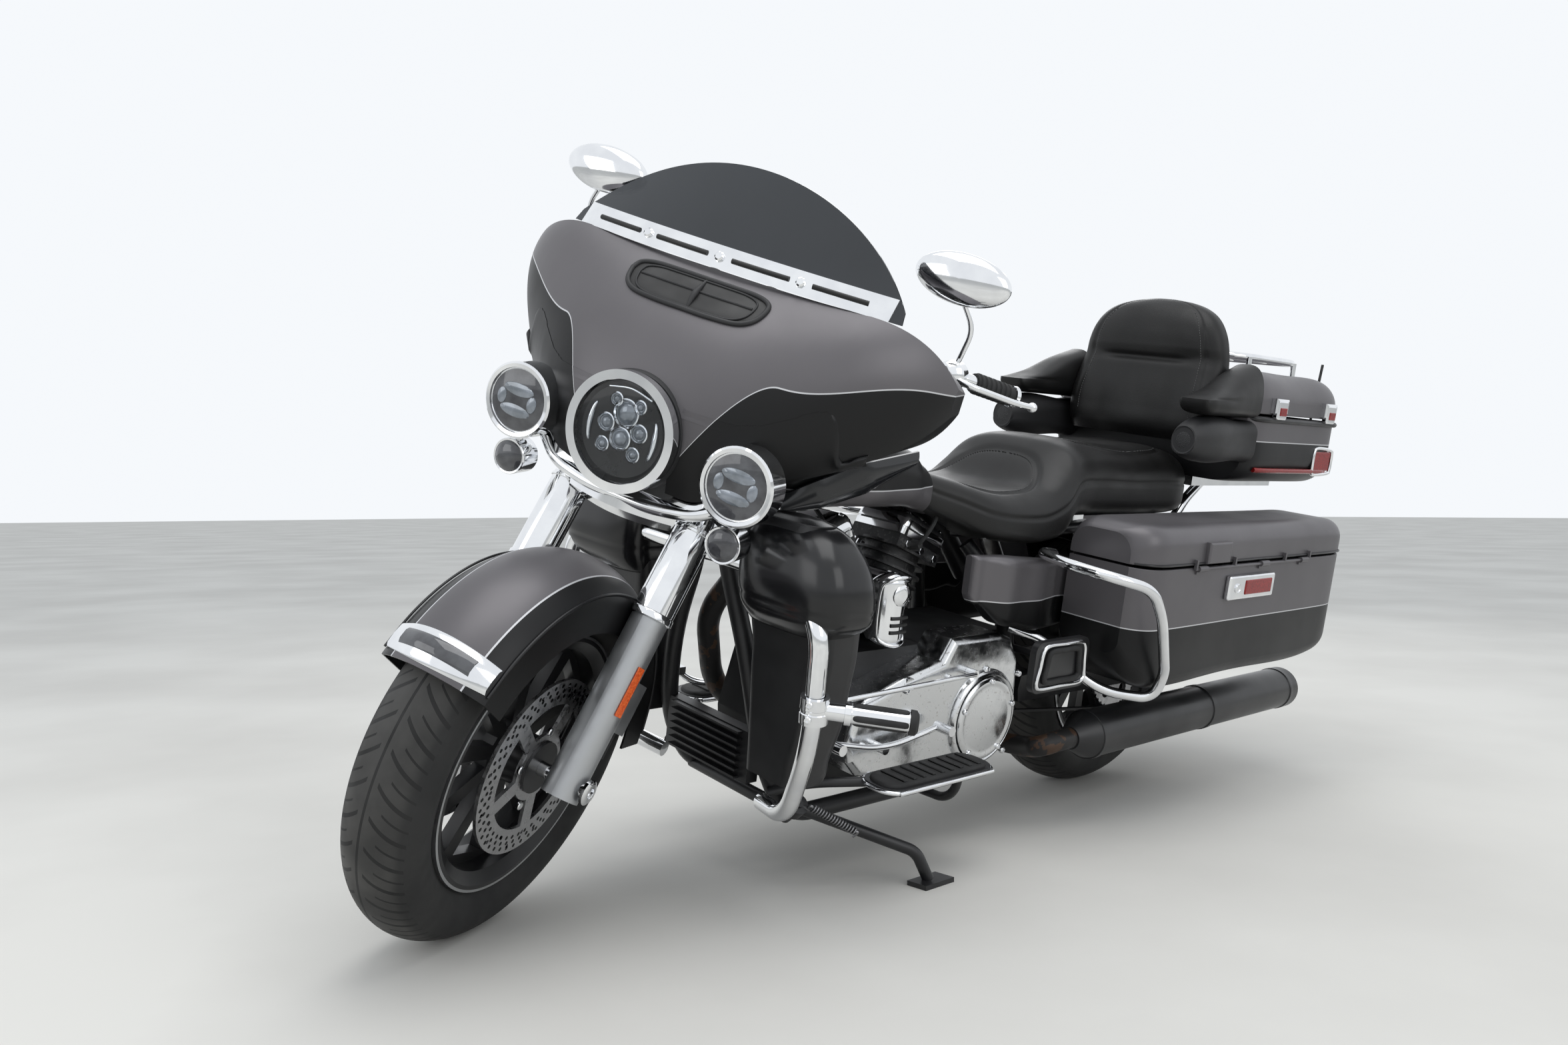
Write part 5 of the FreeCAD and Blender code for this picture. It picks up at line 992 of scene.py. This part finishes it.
def seat_sink(x, y, half):
    """How far the top goes down: the rider's dish, the pillion's slight hollow and the sewn grooves."""
    sink = 13 * soft_step(x, 430, 500) * (1 - soft_step(x, 690, 800)) * exp(-(y / (0.55 * half)) ** 4)
    sink += 4 * soft_step(x, -60, 40) * (1 - soft_step(x, 230, 320)) * exp(-(y / (0.6 * half)) ** 4)
    for ring in (RIDER_RING, PILLION_RING):
        sink += 6.0 * exp(-(ring_gap(x, y, *ring) / 5.2) ** 2)
    return sink


rings = []
for x in [SEAT_BACK + (SEAT_FRONT - SEAT_BACK) * i / SEAT_STEPS for i in range(SEAT_STEPS + 1)]:
    half, low, high = along(SEAT_ROWS, x)
    shrink = rounded(min(x - SEAT_BACK, SEAT_FRONT - x) / 30, 0.25)
    middle, ring = low + 0.42 * (high - low), []
    for k in range(TOP_POINTS + LOW_POINTS):
        turn = pi * (k / TOP_POINTS - 0.5) if k < TOP_POINTS else pi * ((k - TOP_POINTS) / LOW_POINTS + 0.5)
        y = half * (0.25 * shrink + 0.75) * sin(turn)
        if k < TOP_POINTS:
            fall = max(1 - abs(sin(turn)) ** 3.1, 0) ** (1 / 2.7)
            z = middle + (high - middle) * shrink * fall - seat_sink(x, y, half) * soft_step(fall, 0.3, 0.7)
        else:
            z = middle - (middle - low) * shrink * max(1 - abs(sin(turn)) ** 4.5, 0) ** (1 / 4.5)
            z = max(z, 703.2) if abs(y) < 146 and x < 652 else z
            z = max(z, 738.5) if abs(y) < 74 and x > 556 else z
        crease = abs(z - (middle + 0.16 * (high - middle)))
        y -= copysign(3.2 * exp(-(crease / 4) ** 2), y) if abs(y) > half * 0.8 else 0
        ring.append((x, y, z))
    rings.append(ring)
seat_shape = skin(rings)
seat_top = BVHTree.FromBMesh(seat_shape)
THREAD_EDGES = [Vector((0.9 * cos(a), 0.9 * sin(a), 0.6 * cos(a))) for a in (0, 2.1, 4.2)]


def stitched(name, tree, path, aim):
    """A row of stitches laid on a surface: path gives two points for each, and aim the way down to it."""
    threads, aim = [], Vector(aim)
    for pair in path:
        ends = [tree.ray_cast(Vector(point), aim)[0] - aim * 0.4 for point in pair]
        spots = (ends[0], (ends[0] + ends[1]) / 2 - aim * 0.5, ends[1])
        threads.append(skin([[spot + edge for edge in THREAD_EDGES] for spot in spots]))
    fitted(name, joined(threads), thread)


def ring_spot(share, cx, a, b):
    """A point above a sewn ring's inner side, by its share of the way round."""
    x, y = (squared(wave(2 * pi * share), 2 / RING_POWER) for wave in (cos, sin))
    return (cx + (a - 8) * x, (b - 8) * y, 1000)


seat = fitted("rider_and_pillion_seat", seat_shape, leather, smooth=70)
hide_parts("seat")
for word, ring in (("rider", RIDER_RING), ("pillion", PILLION_RING)):
    path = [[ring_spot((k + part) / 130, *ring) for part in (0, 0.6)] for k in range(130)]
    stitched(f"stitches_{word}", seat_top, path, (0, 0, -1))

# Backrest: a tall domed pad with a fold below its head and stitches up each side, on the tour box's front
# wall; an arm each side of it runs out over the speaker pod. Foam under the same leather.
BACK_ROWS = [(884, 196, 0.80), (910, 202, 1), (960, 205, 1), (1010, 202, 1), (1060, 196, 1), (1110, 189, 1),
             (1150, 176, 1), (1185, 152, 0.97), (1207, 118, 0.9), (1219, 76, 0.74), (1225, 30, 0.5)]
FACE = [(884, -66), (940, -58), (1000, -60), (1056, -70), (1084, -78), (1110, -74), (1160, -76), (1200, -90),
        (1225, -108)]
BACK_WALL, BACK_FOOT, BACK_TALL = -139.3, 884, 341
rings = []
for z in [BACK_FOOT + BACK_TALL * (1 - (1 - i / 109) ** 1.25) for i in range(110)]:
    (half, deep), face, ring = along(BACK_ROWS, z), along(FACE, z)[0], []
    for turn in turns(128):
        y, x = half * squared(sin(turn), 2 / 3.6), BACK_WALL
        if cos(turn) >= 0:
            wing = 22 * soft_step(abs(y), 90, 190) * (1 - soft_step(z, 960, 1090))
            crown = 12 * (1 - (abs(y) / half) ** 2)
            fold = 9 * exp(-((z - 1078) / 8) ** 2) * (1 - soft_step(abs(y), 70, 150))
            seam = 3.6 * exp(-((abs(y) / half - 0.80) / 0.03) ** 2) * soft_step(z, 930, 990)
            x += (face - BACK_WALL - 8 + crown + wing - fold - seam) * deep * cos(turn) ** (2 / 4.2)
        ring.append((x, y, z))
    rings.append(ring)
back_shape = skin(rings)
back_face = BVHTree.FromBMesh(back_shape)
backrest = fitted("backrest_pad", back_shape, leather, smooth=70)
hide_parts("backrest")


def side_spot(side, share):
    """A point ahead of the backrest's sewn side, by its share of the way up."""
    z = 935 + 262 * share
    return (200, side * along(BACK_ROWS, z)[0] * 0.76, z)


path = [[side_spot(side, (k + part) / 44) for part in (0, 0.6)] for side in (-1, 1) for k in range(44)]
stitched("stitches_backrest", back_face, path, BACKWARD)
ARM_ROWS = [(-140, 1084, 54, 238), (-60, 1056, 52, 246), (20, 1018, 48, 252), (112, 990, 42, 255)]
ARM_SEAM, ARM_LOW = 992, 957.5
for side, word in SIDES:
    rings = []
    for x in [-139 + 250 * i / 79 for i in range(80)]:
        top, half, middle = along(ARM_ROWS, x)
        shrink = rounded(min((111 - x) / 34, 1), 0.18)
        ring = []
        for turn in turns(64):
            y = half * (0.4 * shrink + 0.6) * squared(cos(turn), 2 / 2.9)
            z = ARM_SEAM + ((top - ARM_SEAM) * shrink * sin(turn) ** (2 / 2.5) if sin(turn) >= 0
                            else (ARM_LOW - ARM_SEAM) * shrink * abs(sin(turn)) ** (2 / 4))
            y -= copysign(2.4 * exp(-((z - 996) / 3) ** 2), y)
            ring.append((x, side * (middle + y), z))
        rings.append(ring)
    arm = fitted(f"arm_rest_{word}", skin(rings), leather, smooth=70)

# Side bags: moulded shells, pewter above and black below the line. Each has a chrome latch with a red
# reflector and a key plug, and a black lip that rides with its lid.
dressed(two_tone("bag_paint", chassis, level(0.512)), "saddlebags")
dressed(two_tone("bag_lid_paint", chassis, level(0.0)), "bag_lid_left", "bag_lid_right")
red_glass = finish("red_reflector", "lamp_red", (0.42, 0.012, 0.012), 0, 0.16, (60, 0.12, 0.24),
                   (260, (0.17, 0.005, 0.005), (0.30, 0.010, 0.010)))
BAG_FACE = 391
LID_LIP = ((416, 352), (404, 370), (388, 383), (360, 391.5), (300, 393.6), (0, 393.6), (-300, 393.6),
           (-380, 393.4), (-430, 392), (-470, 387.6), (-498, 377), (-514, 361))
for side, word in SIDES:
    y = side * BAG_FACE
    fitted(f"bag_latch_{word}", slab((-112, y, 560), (98, y + side * 15, 616)), chrome, bevel=6)
    fitted(f"bag_reflector_{word}", slab((-94, y, 571), (30, y + side * 17.4, 605)), red_glass, bevel=3)
    key = [(0, 11), (2, 11), (3.4, 9), (1.6, 7), (1.6, 0)]
    fitted(f"bag_key_{word}", turned(key, (66, y + side * 15, 588), (0, side, 0), 24), chrome)
    fitted(f"lid_lip_{word}", swept([(x, side * out, 648.5) for x, out in LID_LIP], 2.6, 8), satin_black,
           f"lid_{word}")

# Tour box: a black tub with a dark band at its rim, a pewter lid, chrome latches, and low on each side a red
# strip and a framed corner lamp.
dressed(two_tone("tour_box_paint", chassis, level(0.905), (0.012, 0.012, 0.013)), "tour_box")
dressed(two_tone("tour_lid_paint", chassis, level(0.0)), "tour_box_lid")
RIM_BAND = ((-148, 262), (-160, 279), (-182, 287), (-220, 288.5), (-370, 288.5), (-520, 288.5), (-552, 286),
            (-580, 276), (-596, 254))
RED_STRIP = ((-176, 277), (-220, 284), (-370, 286.6), (-520, 284), (-566, 274))
LAMP_FRAME = ((-470, 838), (-470, 884), (-486, 896), (-560, 892), (-572, 880), (-572, 842), (-560, 832),
              (-482, 828))
for side, word in SIDES:
    fitted(f"box_rim_band_{word}", swept([(x, side * y, 958) for x, y in RIM_BAND], 6.5), satin_black)
    fitted(f"box_red_strip_{word}", swept([(x, side * y, 836) for x, y in RED_STRIP], 6.2), red_glass)
    edge = [(x, side * 287, z) for x, z in LAMP_FRAME]
    fitted(f"corner_lamp_frame_{word}", swept(edge, 4.4, loop=True), chrome)
    fitted(f"corner_lamp_{word}", slab((-566, side * 280, 838), (-476, side * 288, 888)), red_glass, bevel=4)
for x in (-230, -500):
    fitted(f"latch_lever_{-x}", slab((x - 24, 286, 960), (x + 24, 303, 1008)), chrome, "box_lid", 6)
    fitted(f"latch_reflector_{-x}", slab((x - 17, 300, 970), (x + 17, 304.6, 990)), red_glass, "box_lid", 2)

# Speaker pods: moulded cups on the box's front corners, each with a rim and a woven grille whose hollows are
# painted dark as shade.
grille = finish("speaker_mesh", "trim_plastic", (0.016, 0.016, 0.017), 0.2, 0.5)
# The mesh darkens toward each cell's middle, where its relief dips: painted shade in the hollows.
coloured(grille, pored(grille, 620, 0.7, 0.001), (0.002, 0.002, 0.002), (0.05, 0.05, 0.052))
for side, word in SIDES:
    for name, profile, made in (("rim", [(-8, 30.4), (0, 31), (4, 28.4), (3, 25.4), (-2, 25)], moulded),
                                ("grille", [(0.4, 25.6), (2.6, 20), (4, 10), (4.4, 0)], grille)):
        fitted(f"pod_{name}_{word}", turned(profile, (123, side * 254, 898), AHEAD, 40, 1.1), made)

# Tail: red lamp in a chrome bezel on the rear mudguard, over a bare plate in a thin frame.
plate_white = finish("bare_plate", "cast_silver", (0.70, 0.70, 0.68), 0.1, 0.45, (20, 0.36, 0.5))
dressed(red_glass, "tail_lamp_and_plate")
lamp_way = Vector((-0.866, 0, 0.5))
fitted("tail_lamp_bezel", turned([(-20, 40.4), (-18, 44), (0, 45), (4, 42), (3, 37), (0.4, 36)],
                                 Vector(REAR) + lamp_way * 384, lamp_way), chrome)
fitted("plate_face", slab((-447.4, -90, 348), (-445, 90, 478)), plate_white, bevel=1)
edge = [(-447, y, z) for y, z in ((-92, 346), (92, 346), (92, 480), (-92, 480))]
fitted("plate_frame", swept(cornered(edge, (0.03, 0.5, 0.97)), 4, 8, True), chrome)
